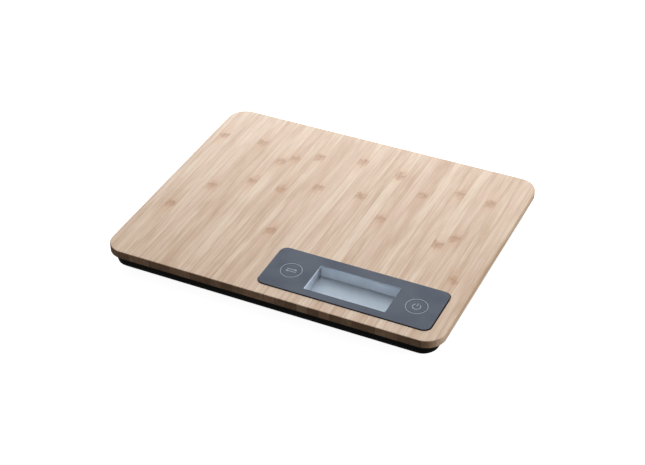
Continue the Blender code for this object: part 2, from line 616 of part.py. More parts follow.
def build_electronics(parts, tools, green, white, glass, foam, epoxy, silicone, zinc):
    pcb = slab("main_pcb", PCB_SIZE, PCB_BOTTOM, PCB_TOP, parts, green, centre=PCB_CENTRE,
               corner=MM, corner_steps=2)
    cuts = make_collection("pcb_cuts", tools)
    for i, place in enumerate(pcb_screw_places()):
        as_tool(cylinder(f"pcb_clear_{i}", PCB_SCREW[2] + SHANK_CLEAR, PCB_BOTTOM - OVERCUT,
                         PCB_TOP + OVERCUT, cuts, centre=place, segments=12))
        screw_piece(f"pcb_screw_{i + 1}", PCB_SCREW, PCB_TOP + THIN_TOUCH, parts, zinc, place)
    boolean(pcb, "screw_holes", "DIFFERENCE", cuts)

    slab("lcd_glass", LCD_SIZE, LCD_BOTTOM, LCD_TOP, parts, glass, centre=WINDOW_CENTRE)
    slab("lcd_backing", (LCD_SIZE[0] - 6 * MM, LCD_SIZE[1] - 9 * MM), PCB_TOP + THIN_TOUCH,
         LCD_BOTTOM - THIN_TOUCH, parts, foam, centre=(WINDOW_CENTRE[0], WINDOW_CENTRE[1] + MM))
    strip = (LCD_SIZE[0] - 8 * MM, 2 * MM)
    slab("lcd_connector", strip, PCB_TOP + THIN_TOUCH, LCD_BOTTOM - THIN_TOUCH, parts, silicone,
         centre=(WINDOW_CENTRE[0], WINDOW_CENTRE[1] - LCD_SIZE[1] / 2 + 1.8 * MM))

    pocket = [side + 2 * POCKET_CLEAR for side in LCD_SIZE]
    tunnel = [side + 2 * TUNNEL_CLEAR for side in WINDOW_SIZE]
    shoulder = LCD_TOP + 1.2 * MM
    frame = slab("lcd_frame", [side + 2 * POCKET_WALL for side in pocket], PCB_TOP + TOUCH,
                 shoulder, parts, white, centre=WINDOW_CENTRE)
    adds = make_collection("frame_adds", tools)
    as_tool(slab("light_tunnel", [side + 2 * TUNNEL_WALL for side in tunnel], shoulder - MM,
                 PANEL_BOTTOM - TOUCH, adds, centre=WINDOW_CENTRE))
    boolean(frame, "tunnel", "UNION", adds)
    openings = make_collection("frame_cuts", tools)
    as_tool(slab("lcd_pocket", pocket, PCB_BOTTOM, LCD_TOP + TOUCH, openings,
                 centre=WINDOW_CENTRE))
    as_tool(slab("tunnel_opening", tunnel, LCD_BOTTOM, PANEL_TOP, openings,
                 centre=WINDOW_CENTRE))
    boolean(frame, "openings", "DIFFERENCE", openings)

    chip_x = PCB_CENTRE[0] - PCB_SIZE[0] / 2 + 6.5 * MM
    low = PCB_TOP + THIN_TOUCH
    turned("controller_blob", [
        (0, low + 1.5 * MM),
        (2 * MM, low + 1.3 * MM),
        (3.6 * MM, low + 0.7 * MM),
        (4.2 * MM, low),
        (0, low),
    ], parts, epoxy, (chip_x, PCB_CENTRE[1] + 6 * MM), steps=20)
    slab("amplifier_chip", (4 * MM, 9 * MM), low, low + 1.5 * MM, parts, epoxy,
         centre=(chip_x, PCB_CENTRE[1] - 8 * MM))


def build_wires(parts, red, black, grey):
    """Four gauge leads, two battery leads and the key board's lead, all held inside the base."""
    gauge_level = CELL_BOTTOM + CELL_THICK + GAUGE_SIZE[2] + THIN_TOUCH + TOUCH + WIRE_RADIUS
    gauge_y = FOOT_CENTRE[1] - GAUGE_OFFSET
    foot_x = FOOT_CENTRE[0]
    pcb_back = PCB_CENTRE[1] + PCB_SIZE[1] / 2
    pcb_left = PCB_CENTRE[0] - PCB_SIZE[0] / 2
    pcb_right = PCB_CENTRE[0] + PCB_SIZE[0] / 2
    run = WIRE_LEVEL
    wire("lead_front_left", [
        (-foot_x, -gauge_y, gauge_level),
        (-foot_x + 8 * MM, -gauge_y, gauge_level),
        (-foot_x + 16 * MM, -gauge_y + MM, run),
        (-50 * MM, -50 * MM, run),
        (-14 * MM, -48 * MM, run),
        (pcb_left - 3 * MM, -54 * MM, run + 0.4 * MM),
        (pcb_left + 2.5 * MM, -62 * MM, SOLDER_LEVEL),
    ], parts, grey)
    wire("lead_front_right", [
        (foot_x, -gauge_y, gauge_level),
        (foot_x - 6 * MM, -gauge_y + 2 * MM, gauge_level),
        (pcb_right + 3.4 * MM, -46 * MM, run + MM),
        (82 * MM, -40 * MM, run),
        (76 * MM, -38.5 * MM, run),
        (71 * MM, -40.5 * MM, run),
        (70 * MM, pcb_back - 2.2 * MM, SOLDER_LEVEL),
    ], parts, grey)
    wire("lead_back_left", [
        (-foot_x, gauge_y, gauge_level),
        (-foot_x + 8 * MM, gauge_y, gauge_level),
        (-foot_x + 16 * MM, gauge_y - 4 * MM, run),
        (-74 * MM, 30 * MM, run),
        (-72 * MM, 0, run),
        (-60 * MM, -22 * MM, run),
        (-20 * MM, -37 * MM, run),
        (5 * MM, -39 * MM, run),
        (12 * MM, pcb_back - 2.2 * MM, SOLDER_LEVEL),
    ], parts, grey)
    wire("lead_back_right", [
        (foot_x, gauge_y, gauge_level),
        (foot_x - 8 * MM, gauge_y, gauge_level),
        (foot_x - 16 * MM, gauge_y - 4 * MM, run),
        (74 * MM, 30 * MM, run),
        (76 * MM, 0, run),
        (74 * MM, -26 * MM, run),
        (68 * MM, -38 * MM, run),
        (66 * MM, pcb_back - 2.2 * MM, SOLDER_LEVEL),
    ], parts, grey)
    box_front = BOX_CENTRE[1] - BOX_SIZE[1] / 2
    lead_level = DOOR_TOP + 2.6 * MM
    for name, side, end_x, material in (
        ("battery_lead_red", 1, 30 * MM, red),
        ("battery_lead_black", -1, 23 * MM, black),
    ):
        start_x = BOX_CENTRE[0] + side * 6 * MM
        wire(name, [
            (start_x, box_front + 8 * MM, lead_level),
            (start_x, box_front + 2 * MM, lead_level),
            (start_x + 2 * MM, box_front - 6 * MM, run),
            (start_x + 14 * MM, -20 * MM + side * 1.5 * MM, run),
            (end_x - 6 * MM, -34 * MM + side * MM, run),
            (end_x, pcb_back - 2.2 * MM, SOLDER_LEVEL),
        ], parts, material)
    key_lead_y = WINDOW_CENTRE[1] - 10 * MM
    key_board_low = KEY_BOARD_TOP - KEY_BOARD_THICK
    key_board_left = PANEL_CENTRE[0] - KEY_BOARD_SIZE[0] / 2
    wire("key_board_lead", [
        (key_board_left + 3 * MM, key_lead_y, key_board_low - TOUCH - WIRE_RADIUS),
        (key_board_left + 6 * MM, key_lead_y, key_board_low - 1.6 * MM),
        (pcb_left + 0.5 * MM, key_lead_y + 2 * MM, SOLDER_LEVEL + 2.6 * MM),
        (pcb_left + 2.2 * MM, key_lead_y + 5 * MM, SOLDER_LEVEL + 0.1 * MM),
        (pcb_left + 2.4 * MM, key_lead_y + 7.5 * MM, SOLDER_LEVEL),
    ], parts, grey)


def build_label(parts, silver):
    """A plain sticker on the underside, with nothing printed on it."""
    label_top = BASE_BOTTOM - 0.1 * MM
    slab("underside_label", (52 * MM, 30 * MM), label_top - 0.2 * MM, label_top, parts, silver,
         centre=(40 * MM, 20 * MM), corner=2 * MM, corner_steps=3)


def build_board_screws(parts, zinc):
    for i, place in enumerate(BOARD_SCREWS):
        screw_piece(f"board_screw_{i + 1}", BOARD_SCREW, BOARD_SCREW_HEAD_TOP, parts, zinc, place,
                    down=False)


def main():
    clear_scene()
    parts = make_collection("kitchen_scale")
    tools = make_collection("shaping_tools")
    bamboo = make_material("bamboo", (0.70, 0.52, 0.37), 0.5)
    black = make_material("black_abs", (0.012, 0.012, 0.013), 0.45)
    white = make_material("white_abs", (0.55, 0.60, 0.65), 0.5)
    steel = make_material("spring_steel", (0.55, 0.55, 0.57), 0.3, 1.0)
    zinc = make_material("zinc_screw", (0.6, 0.6, 0.62), 0.35, 1.0)
    build_board(parts, tools, bamboo)
    slate = make_material("panel_slate", (0.10, 0.12, 0.16), 0.2)
    green = make_material("pcb_green", (0.02, 0.16, 0.07), 0.4)
    epoxy = make_material("epoxy_black", (0.015, 0.015, 0.015), 0.3)
    build_panel(parts, tools, slate, make_material("tape", (0.05, 0.05, 0.05), 0.7))
    build_keys(parts, tools, slate, green, epoxy)
    build_base(parts, tools, black)
    build_door(parts, tools, black)
    build_battery(parts, steel, make_material("nickel", (0.62, 0.60, 0.55), 0.25, 1.0))
    build_feet(parts, black, make_material("rubber", (0.03, 0.03, 0.03), 0.8), steel,
               make_material("gauge_epoxy", (0.75, 0.72, 0.62), 0.4), zinc)
    build_electronics(parts, tools, green, white, make_material("lcd", (0.45, 0.55, 0.60), 0.15),
                      make_material("foam", (0.8, 0.8, 0.8), 0.9), epoxy,
                      make_material("silicone", (0.35, 0.35, 0.38), 0.6), zinc)
    build_wires(parts, make_material("wire_red", (0.5, 0.02, 0.02), 0.5),
                make_material("wire_black", (0.02, 0.02, 0.02), 0.5),
                make_material("wire_grey", (0.4, 0.4, 0.42), 0.5))
    build_label(parts, make_material("label", (0.6, 0.6, 0.62), 0.4))
    build_board_screws(parts, zinc)


main()
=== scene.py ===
"""A slim kitchen scale, dressed around its frame: the bamboo board, the panel let into it with its
keys and display, the black base under it, and what the base holds."""

import math
import random

import bmesh
import bpy
from mathutils import Matrix, Vector


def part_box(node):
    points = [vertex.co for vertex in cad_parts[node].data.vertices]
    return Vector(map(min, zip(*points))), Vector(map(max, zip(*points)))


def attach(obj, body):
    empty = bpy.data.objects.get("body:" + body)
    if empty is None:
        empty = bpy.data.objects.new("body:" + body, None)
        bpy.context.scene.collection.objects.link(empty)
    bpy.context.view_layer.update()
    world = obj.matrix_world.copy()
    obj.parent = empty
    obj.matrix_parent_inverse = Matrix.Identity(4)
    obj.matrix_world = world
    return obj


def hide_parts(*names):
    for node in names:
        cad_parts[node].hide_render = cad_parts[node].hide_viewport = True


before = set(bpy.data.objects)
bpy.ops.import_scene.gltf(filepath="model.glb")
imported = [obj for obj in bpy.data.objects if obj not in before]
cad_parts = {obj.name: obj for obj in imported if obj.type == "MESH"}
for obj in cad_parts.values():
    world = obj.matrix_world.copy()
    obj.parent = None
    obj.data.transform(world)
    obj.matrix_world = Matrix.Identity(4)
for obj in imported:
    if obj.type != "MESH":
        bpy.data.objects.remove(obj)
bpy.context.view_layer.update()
MM = 0.001

# --------------------------------------------------
# Camera. The scale is seen from the front right and above, from about a metre away with a short
# telephoto lens. The camera is turned a degree about its own axis.
# --------------------------------------------------
BOARD_LOW, BOARD_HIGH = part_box("bamboo_board")
CAMERA_AZIMUTH = math.radians(26.21)
CAMERA_HEIGHT = math.radians(36.84)
CAMERA_ROLL = math.radians(-1.05)
CAMERA_DISTANCE = 955.3 * MM
LOOKED_AT = Vector((6.15 * MM, -19.34 * MM, BOARD_HIGH.z))


def direction(azimuth, height):
    """The way from the scale to something that stands at this azimuth, 0 being straight in front."""
    return Vector((
        math.sin(azimuth) * math.cos(height),
        -math.cos(azimuth) * math.cos(height),
        math.sin(height),
    ))


camera = bpy.data.objects.new("camera", bpy.data.cameras.new("camera"))
bpy.context.scene.collection.objects.link(camera)
bpy.context.scene.camera = camera
camera.data.lens = 83.1
camera.data.sensor_width = 36
camera.data.clip_start = 10 * MM
camera.data.clip_end = 20
towards = direction(CAMERA_AZIMUTH, CAMERA_HEIGHT)
camera.location = LOOKED_AT + CAMERA_DISTANCE * towards
camera.rotation_euler = (
    towards.to_track_quat("Z", "Y").to_matrix() @ Matrix.Rotation(CAMERA_ROLL, 3, "Z")
).to_euler()

# --------------------------------------------------
# Weighing board. Flat strips of bamboo, 7.4 mm wide, are glued edge to edge with the grain from
# front to back, sawn to shape and sanded, with softly rounded edges and a clear satin finish.
# Each strip keeps its own tone, and some have the dark knuckle where the cane had a joint. A
# stepped recess is milled for the control panel.
# --------------------------------------------------
BOARD_CORNER = 13 * MM
BOARD_EDGE = 0.6 * MM
STRIP_WIDTH = 7.39 * MM
FIRST_SEAM = -110.2 * MM
STRIP_COUNT = 31
# Where the knuckle of a strip lies, from the middle of the board. Strips not named here have none
KNUCKLES = {
    1: 55, 2: -32, 4: -2, 5: 57, 7: 14, 8: 42, 9: 49, 10: 13, 11: 57, 12: -31, 13: 24,
    15: 65, 17: 27, 19: 60, 20: 10, 22: 45, 25: 57, 26: -1, 27: 9, 28: 54, 29: -31,
}
NO_KNUCKLE = 9.0
# Half the knuckle's size across and along the strip, how far its edge is torn, and how far along
# the strip the wood is warmer
KNUCKLE_REACH = (6.4 * MM, 4.9 * MM)
KNUCKLE_TORN = 14 * MM
WARM_REACH = 20 * MM
PALE_WOOD, TAN_WOOD = (0.90, 0.72, 0.545, 1), (0.62, 0.40, 0.245, 1)
PINK_WOOD, WARM_WOOD = (0.70, 0.46, 0.33, 1), (0.72, 0.455, 0.29, 1)
PALE_STREAK, DARK_STREAK = (0.93, 0.78, 0.63, 1), (0.46, 0.265, 0.145, 1)
FIBRE_BROWN, GLUE_BROWN = (0.40, 0.225, 0.12, 1), (0.36, 0.20, 0.11, 1)
KNUCKLE_BROWN, CREASE_BROWN = (0.52, 0.265, 0.12, 1), (0.33, 0.155, 0.07, 1)
# What the sawn ends of a pale and of a dark strip leave of their colour
PALE_SOAK, DARK_SOAK = (0.82, 0.67, 0.55, 1), (0.58, 0.46, 0.37, 1)


def plan_of(node):
    """Where the middle of one of the frame's pieces is, and its size, both seen from above."""
    low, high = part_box(node)
    return ((low.x + high.x) / 2, (low.y + high.y) / 2), (high.x - low.x, high.y - low.y)


PANEL_CENTRE, PANEL_SIZE = plan_of("control_panel")
PANEL_CORNER = 5 * MM
RECESS_GAP = 0.3 * MM
LEDGE_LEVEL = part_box("panel_tape")[0].z - 0.15 * MM
LEDGE = 3 * MM
OPENING_CORNER = 3 * MM


def new_object(name, mesh, *materials):
    made = bpy.data.objects.new(name, mesh)
    bpy.context.scene.collection.objects.link(made)
    for material in materials:
        mesh.materials.append(material)
    return made


def object_from(shape, name, *materials):
    mesh = bpy.data.meshes.new(name)
    shape.to_mesh(mesh)
    shape.free()
    return new_object(name, mesh, *materials)


def outline(size, centre=(0, 0), corner=0.0, steps=12):
    """Points round a rectangle with rounded corners, anticlockwise."""
    points = []
    for turn, (sx, sy) in enumerate(((1, 1), (-1, 1), (-1, -1), (1, -1))):
        x = centre[0] + sx * (size[0] / 2 - corner)
        y = centre[1] + sy * (size[1] / 2 - corner)
        for i in range(steps + 1 if corner else 1):
            angle = math.pi / 2 * (turn + i / steps)
            points.append((x + corner * math.cos(angle), y + corner * math.sin(angle)))
    return points


def ring_points(radius, centre=(0, 0), steps=64):
    return [
        (centre[0] + radius * math.cos(2 * math.pi * i / steps),
         centre[1] + radius * math.sin(2 * math.pi * i / steps))
        for i in range(steps)
    ]


def solid(name, points, low, high, top_round=0.0, low_round=0.0, steps=3, materials=()):
    """An upright solid over an outline, with its upper and lower rims rounded."""
    shape = bmesh.new()
    rings = [[shape.verts.new((x, y, z)) for x, y in points] for z in (low, high)]
    shape.faces.new(reversed(rings[0]))
    shape.faces.new(rings[1])
    for i, corner in enumerate(rings[0]):
        following = (i + 1) % len(points)
        shape.faces.new((corner, rings[0][following], rings[1][following], rings[1][i]))
    for ring, size in ((rings[0], low_round), (rings[1], top_round)):
        if size:
            corners = set(ring)
            rim = [e for e in shape.edges if set(e.verts) <= corners and len(e.link_faces) == 2]
            bmesh.ops.bevel(shape, geom=rim, offset=size, segments=steps, profile=0.5,
                            affect="EDGES", clamp_overlap=True)
    return object_from(shape, name, *materials)


def settle(obj):
    """Makes the object's modifiers part of its mesh."""
    graph = bpy.context.evaluated_depsgraph_get()
    mesh = bpy.data.meshes.new_from_object(obj.evaluated_get(graph), depsgraph=graph)
    obj.modifiers.clear()
    obj.data = mesh
    return obj


def carve(obj, *tools, operation="DIFFERENCE"):
    """Cuts the tools out of the object, or joins them to it, and removes them."""
    for tool in tools:
        boolean = obj.modifiers.new("carve", "BOOLEAN")
        boolean.operation = operation
        boolean.solver = "EXACT"
        boolean.object = tool
    settle(obj)
    for tool in tools:
        bpy.data.objects.remove(tool)
    return obj


def smooth(obj, angle=32):
    """Smooth shading with crisp edges, and flat faces that stay flat."""
    obj.data.shade_smooth()
    obj.data.set_sharp_from_angle(angle=math.radians(angle))
    weigh = obj.modifiers.new("flat_faces", "WEIGHTED_NORMAL")
    weigh.keep_sharp = True
    weigh.weight = 90
    return settle(obj)


def new_material(name, colour, roughness=0.5, metallic=0.0):
    """A material, its nodes, its surface shader, and the piece's own coordinates."""
    material = bpy.data.materials.new(name)
    material.use_nodes = True
    material.diffuse_color = (*colour, 1)
    shader = material.node_tree.nodes["Principled BSDF"]
    shader.inputs["Base Color"].default_value = (*colour, 1)
    shader.inputs["Roughness"].default_value = roughness
    shader.inputs["Metallic"].default_value = metallic
    place = material.node_tree.nodes.new("ShaderNodeTexCoord").outputs["Object"]
    return material, material.node_tree, shader, place


def add(tree, kind, sockets=None, **settings):
    """A shader node. A socket's value is a number, a colour, or the output that feeds it."""
    made = tree.nodes.new(kind)
    for name, value in settings.items():
        setattr(made, name, value)
    for name, value in (sockets or {}).items():
        if isinstance(value, bpy.types.NodeSocket):
            tree.links.new(value, made.inputs[name])
        else:
            made.inputs[name].default_value = value
    return made


def maths(tree, operation, first, second=0.0):
    node = add(tree, "ShaderNodeMath", {0: first, 1: second}, operation=operation)
    return node.outputs[0]


def span(tree, value, low, high, to_low=0.0, to_high=1.0):
    """Maps a value's span smoothly onto another."""
    return add(tree, "ShaderNodeMapRange",
               {"Value": value, "From Min": low, "From Max": high, "To Min": to_low,
                "To Max": to_high}, interpolation_type="SMOOTHSTEP").outputs["Result"]


def blend_colours(tree, factor, first, second, mode="MIX"):
    node = add(tree, "ShaderNodeMix", data_type="RGBA", blend_type=mode)
    for name, value in (("Factor_Float", factor), ("A_Color", first), ("B_Color", second)):
        socket = next(s for s in node.inputs if s.identifier == name)
        if isinstance(value, bpy.types.NodeSocket):
            tree.links.new(value, socket)
        else:
            socket.default_value = value
    return next(s for s in node.outputs if s.identifier == "Result_Color")


def stretched_noise(tree, place, scale, detail=4.0, roughness=0.55):
    """Noise on the piece's own coordinates, with its own scale along each axis."""
    sized = add(tree, "ShaderNodeVectorMath", {0: place, 1: scale}, operation="MULTIPLY")
    return add(tree, "ShaderNodeTexNoise",
               {"Vector": sized.outputs[0], "Scale": 1.0, "Detail": detail,
                "Roughness": roughness}).outputs["Fac"]


def bump(tree, height, strength, distance):
    return add(tree, "ShaderNodeBump", {"Height": height, "Strength": strength,
                                        "Distance": distance}).outputs["Normal"]


def moved(tree, place, **shifts):
    """The coordinates, moved along each axis that is named."""
    shift = add(tree, "ShaderNodeCombineXYZ", shifts).outputs[0]
    return add(tree, "ShaderNodeVectorMath", {0: place, 1: shift}, operation="ADD").outputs[0]


def stain(tree, wood, where, strength, colour):
    """Takes the wood toward a colour where the pattern is strong."""
    return blend_colours(tree, maths(tree, "MULTIPLY", where, strength), wood, colour)


def oiled_bamboo():
    material, tree, shader, place = new_material("oiled_bamboo", PALE_WOOD[:3], 0.42)
    strip, tone, blush, knuckle = [
        add(tree, "ShaderNodeAttribute", attribute_name=name).outputs["Fac"]
        for name in ("strip", "tone", "blush", "knuckle")
    ]
    # Every strip comes from another cane, so the grain runs on from elsewhere in each
    apart = maths(tree, "SINE", maths(tree, "MULTIPLY", strip, 12.9898))
    grain_place = moved(tree, place, Y=maths(tree, "MULTIPLY", apart, 3.1),
                        Z=maths(tree, "MULTIPLY", apart, 0.21))
    wander = stretched_noise(tree, grain_place, (60, 9, 60), 2.0)
    bent = moved(tree, grain_place, X=maths(tree, "MULTIPLY", wander, 2.2 * MM))
    bands = stretched_noise(tree, bent, (300, 15, 300), 3.0)
    streaks = stretched_noise(tree, bent, (820, 30, 820), 4.0, 0.6)
    fibres = stretched_noise(tree, bent, (2600, 32, 2600), 3.0, 0.6)
    clouds = stretched_noise(tree, grain_place, (150, 42, 150), 4.0)

    share = maths(tree, "ADD", maths(tree, "MULTIPLY", tone, 0.36),
                  span(tree, bands, 0.36, 0.64, 0.0, 0.50))
    share = maths(tree, "ADD", share, span(tree, clouds, 0.35, 0.7, -0.14, 0.16))
    wood = blend_colours(tree, share, PALE_WOOD, TAN_WOOD)
    wood = stain(tree, wood, blush, 0.45, PINK_WOOD)
    wood = stain(tree, wood, span(tree, streaks, 0.50, 0.70), 0.34, DARK_STREAK)
    wood = stain(tree, wood, span(tree, streaks, 0.46, 0.30), 0.28, PALE_STREAK)
    wood = stain(tree, wood, span(tree, fibres, 0.54, 0.72), 0.19, FIBRE_BROWN)

    # The knuckle: a ragged brown smudge as wide as the strip, with a darker crease across it, and
    # warmer wood before and after it
    parts = add(tree, "ShaderNodeSeparateXYZ", {0: place})
    across = maths(tree, "DIVIDE", maths(tree, "SUBTRACT", parts.outputs["X"], FIRST_SEAM),
                   STRIP_WIDTH)
    from_seam = maths(tree, "PINGPONG", across, 0.5)
    from_knuckle = maths(tree, "SUBTRACT", parts.outputs["Y"], knuckle)
    warmth = span(tree, maths(tree, "ABSOLUTE", from_knuckle), 2 * MM, WARM_REACH, 1.0, 0.0)
    wood = stain(tree, wood, warmth, 0.40, WARM_WOOD)
    ragged = stretched_noise(tree, grain_place, (330, 210, 330), 3.0, 0.6)
    torn = maths(tree, "MULTIPLY", maths(tree, "SUBTRACT", ragged, 0.5), KNUCKLE_TORN)
    along = maths(tree, "ADD", from_knuckle, torn)
    aside = maths(tree, "MULTIPLY", maths(tree, "SUBTRACT", 0.5, from_seam), STRIP_WIDTH)
    squares = [maths(tree, "POWER", maths(tree, "DIVIDE", distance, most), 2.0)
               for distance, most in zip((aside, along), KNUCKLE_REACH)]
    reach = maths(tree, "SQRT", maths(tree, "ADD", *squares))
    smudge = maths(tree, "MULTIPLY", span(tree, reach, 0.1, 1.3, 1.0, 0.0),
                   span(tree, streaks, 0.3, 0.6, 0.65, 1.0))
    wood = stain(tree, wood, smudge, 0.80, KNUCKLE_BROWN)
    from_crease = maths(tree, "ABSOLUTE", maths(tree, "SUBTRACT", along, 1.2 * MM))
    crease = maths(tree, "MULTIPLY", span(tree, reach, 0.7, 1.1, 1.0, 0.0),
                   span(tree, from_crease, 0.1 * MM, 0.7 * MM, 1.0, 0.0))
    wood = stain(tree, wood, crease, 0.46, CREASE_BROWN)

    # Glue line between strips
    glue = span(tree, from_seam, 0.006, 0.04, 1.0, 0.0)
    wood = stain(tree, wood, glue, 0.36, GLUE_BROWN)

    # Sawn ends at the front and back soak up the finish and are darker
    facing = add(tree, "ShaderNodeTexCoord").outputs["Normal"]
    forward = add(tree, "ShaderNodeSeparateXYZ", {0: facing}).outputs["Y"]
    end = span(tree, maths(tree, "ABSOLUTE", forward), 0.45, 0.95)
    soak = blend_colours(tree, span(tree, tone, 0.2, 0.8), PALE_SOAK, DARK_SOAK)
    soaked = blend_colours(tree, 1.0, wood, soak, "MULTIPLY")
    tree.links.new(blend_colours(tree, end, wood, soaked), shader.inputs["Base Color"])

    matt = span(tree, fibres, 0.3, 0.75, 0.31, 0.42)
    tree.links.new(maths(tree, "ADD", matt, maths(tree, "MULTIPLY", end, 0.15)),
                   shader.inputs["Roughness"])
    height = maths(tree, "SUBTRACT", fibres, maths(tree, "MULTIPLY", glue, 0.8))
    tree.links.new(bump(tree, height, 0.35, 0.05 * MM), shader.inputs["Normal"])
    return material


def lay_strips(board, seed):
    """Cuts the board's faces along the seams, and gives each strip its number, tone and knuckle."""
    shape = bmesh.new()
    shape.from_mesh(board.data)
    for seam in range(STRIP_COUNT):
        bmesh.ops.bisect_plane(shape, geom=[*shape.verts, *shape.edges, *shape.faces],
                               dist=1e-7, plane_co=(FIRST_SEAM + seam * STRIP_WIDTH, 0, 0),
                               plane_no=(1, 0, 0))
    layers = {
        name: shape.faces.layers.float.new(name) for name in ("strip", "tone", "blush", "knuckle")
    }
    choose = random.Random(seed)
    tones = [(choose.random(), choose.random() ** 2) for _ in range(STRIP_COUNT + 1)]
    for face in shape.faces:
        strip = math.floor((face.calc_center_median().x - FIRST_SEAM) / STRIP_WIDTH) + 1
        strip = min(max(strip, 0), STRIP_COUNT)
        face[layers["strip"]] = strip
        face[layers["tone"]], face[layers["blush"]] = tones[strip]
        place = KNUCKLES.get(strip)
        face[layers["knuckle"]] = NO_KNUCKLE if place is None else place * MM
    shape.to_mesh(board.data)
    shape.free()


board_centre, board_size = plan_of("bamboo_board")
board = solid("weighing_board", outline(board_size, board_centre, BOARD_CORNER, 22),
              BOARD_LOW.z, BOARD_HIGH.z, BOARD_EDGE, BOARD_EDGE, 4, [oiled_bamboo()])
recess = [side + 2 * RECESS_GAP for side in PANEL_SIZE]
carve(
    board,
    solid("recess", outline(recess, PANEL_CENTRE, PANEL_CORNER + RECESS_GAP, 14), LEDGE_LEVEL,
          BOARD_HIGH.z + MM),
    solid("opening", outline([side - 2 * LEDGE for side in PANEL_SIZE], PANEL_CENTRE,
                             OPENING_CORNER, 8), BOARD_LOW.z - MM, BOARD_HIGH.z),
)
lay_strips(board, seed=92110)
smooth(board)
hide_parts("bamboo_board")
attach(board, "housing")

# --------------------------------------------------
# Panel tape. A frame of thin black foam tape, stuck to the ledge of the recess, holds the panel.
# --------------------------------------------------


def foam(name, colour):
    material, tree, shader, place = new_material(name, colour, 0.9)
    cells = add(tree, "ShaderNodeTexVoronoi", {"Vector": place, "Scale": 4200.0})
    distance = cells.outputs["Distance"]
    shade = span(tree, distance, 0.1, 0.7, 0.7, 1.1)
    tree.links.new(blend_colours(tree, 1.0, (*colour, 1), shade, "MULTIPLY"),
                   shader.inputs["Base Color"])
    tree.links.new(bump(tree, distance, 0.5, 0.05 * MM), shader.inputs["Normal"])
    return material


def dress(node, material):
    """Gives one of the frame's own pieces its finish."""
    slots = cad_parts[node].data.materials
    slots.clear()
    slots.append(material)


dress("panel_tape", foam("black_foam_tape", (0.03, 0.03, 0.032)))

# --------------------------------------------------
# Control panel. A hard plate with a slate-grey satin face stands a hair above the wood. Its outer
# edge is black, and the edge of its window is frosted and takes the grey of the tunnel below. It
# has a round hole for each key, and a pale ring printed around each hole. It sits hard against
# the back left corner of its recess, so the gap shows as a dark line in front and at the right.
# --------------------------------------------------
PANEL_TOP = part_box("control_panel")[1].z
# The print lies on the face, so the face is a little more than its thickness below the top
PRINT_THICK = 0.03 * MM
FACE_LEVEL = PANEL_TOP - PRINT_THICK - 0.01 * MM
PLATE_LOW = PANEL_TOP - 1.5 * MM
PLATE_SLACK = (0.5 * MM, 0.4 * MM)
PLATE_SIZE = [side - slack for side, slack in zip(PANEL_SIZE, PLATE_SLACK)]
PLATE_CENTRE = (PANEL_CENTRE[0] - PLATE_SLACK[0] / 2, PANEL_CENTRE[1] + PLATE_SLACK[1] / 2)
WINDOW_SIZE = (54.5 * MM, 25 * MM)
WINDOW_CENTRE = (PANEL_CENTRE[0] - 0.2 * MM, PANEL_CENTRE[1] - 1.1 * MM)
KEY_HOLE = 6.5 * MM
RING_INNER, RING_OUTER = 6.56 * MM, 7.0 * MM
KEY_CENTRES = {key: plan_of(key)[0] for key in ("mode_key", "tare_key")}


def mottled(name, scale, first, second, rough, detail=3.0, unevenness=0.55, spread=None,
            rough_spread=(0.3, 0.7), grain=None, shine=0.5):
    """A finish that wanders between two colours and two roughnesses. Its grain, if it has one, is
    the scale, detail, strength and depth of a fine bump."""
    material, tree, shader, place = new_material(name, first)
    shader.inputs["Specular IOR Level"].default_value = shine
    wander = stretched_noise(tree, place, scale, detail, unevenness)
    share = span(tree, wander, *spread) if spread else wander
    tree.links.new(blend_colours(tree, share, (*first, 1), (*second, 1)),
                   shader.inputs["Base Color"])
    tree.links.new(span(tree, wander, *rough_spread, *rough), shader.inputs["Roughness"])
    if grain:
        fineness, grain_detail, strength, depth = grain
        height = stretched_noise(tree, place, [fineness] * 3, grain_detail)
        tree.links.new(bump(tree, height, strength, depth), shader.inputs["Normal"])
    return material


def two_tone(obj):
    """Gives the upright faces the second material."""
    for face in obj.data.polygons:
        face.material_index = int(abs(face.normal.z) < 0.98)


slate = mottled("satin_slate", (55, 70, 55), (0.043, 0.065, 0.108), (0.049, 0.074, 0.120),
                (0.28, 0.33), spread=(0.3, 0.7), grain=(9000, 2.0, 0.12, 0.01 * MM), shine=0.4)
cut_edge = mottled("black_cut_edge", (1200, 1200, 9000), (0.005, 0.005, 0.006),
                   (0.012, 0.012, 0.013), (0.4, 0.6), 2.0)
frosted = mottled("frosted_edge", (900, 900, 7000), (0.56, 0.62, 0.70), (0.64, 0.70, 0.78),
                  (0.55, 0.7), 2.0)
ink = mottled("pale_print", (6000, 6000, 6000), (0.31, 0.36, 0.44), (0.39, 0.45, 0.54),
              (0.5, 0.5), spread=(0.3, 0.6), unevenness=0.7)
plate = solid("panel_plate", outline(PLATE_SIZE, PLATE_CENTRE, PANEL_CORNER, 16), PLATE_LOW,
              FACE_LEVEL, 0.4 * MM, 0, 3, [slate, cut_edge, frosted])
carve(
    plate,
    solid("window_hole", outline(WINDOW_SIZE, WINDOW_CENTRE, 0.4 * MM, 4), PLATE_LOW - MM,
          FACE_LEVEL + MM),
    *[solid("key_hole", ring_points(KEY_HOLE, KEY_CENTRES[key]), PLATE_LOW - MM, FACE_LEVEL + MM)
      for key in KEY_CENTRES],
)
two_tone(plate)
# The upright faces round the window are frosted
for face in plate.data.polygons:
    aside = [abs(face.center[i] - WINDOW_CENTRE[i]) - WINDOW_SIZE[i] / 2 for i in (0, 1)]
    if face.material_index and max(aside) < 0.1 * MM:
        face.material_index = 2
smooth(plate)
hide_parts("control_panel")
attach(plate, "housing")


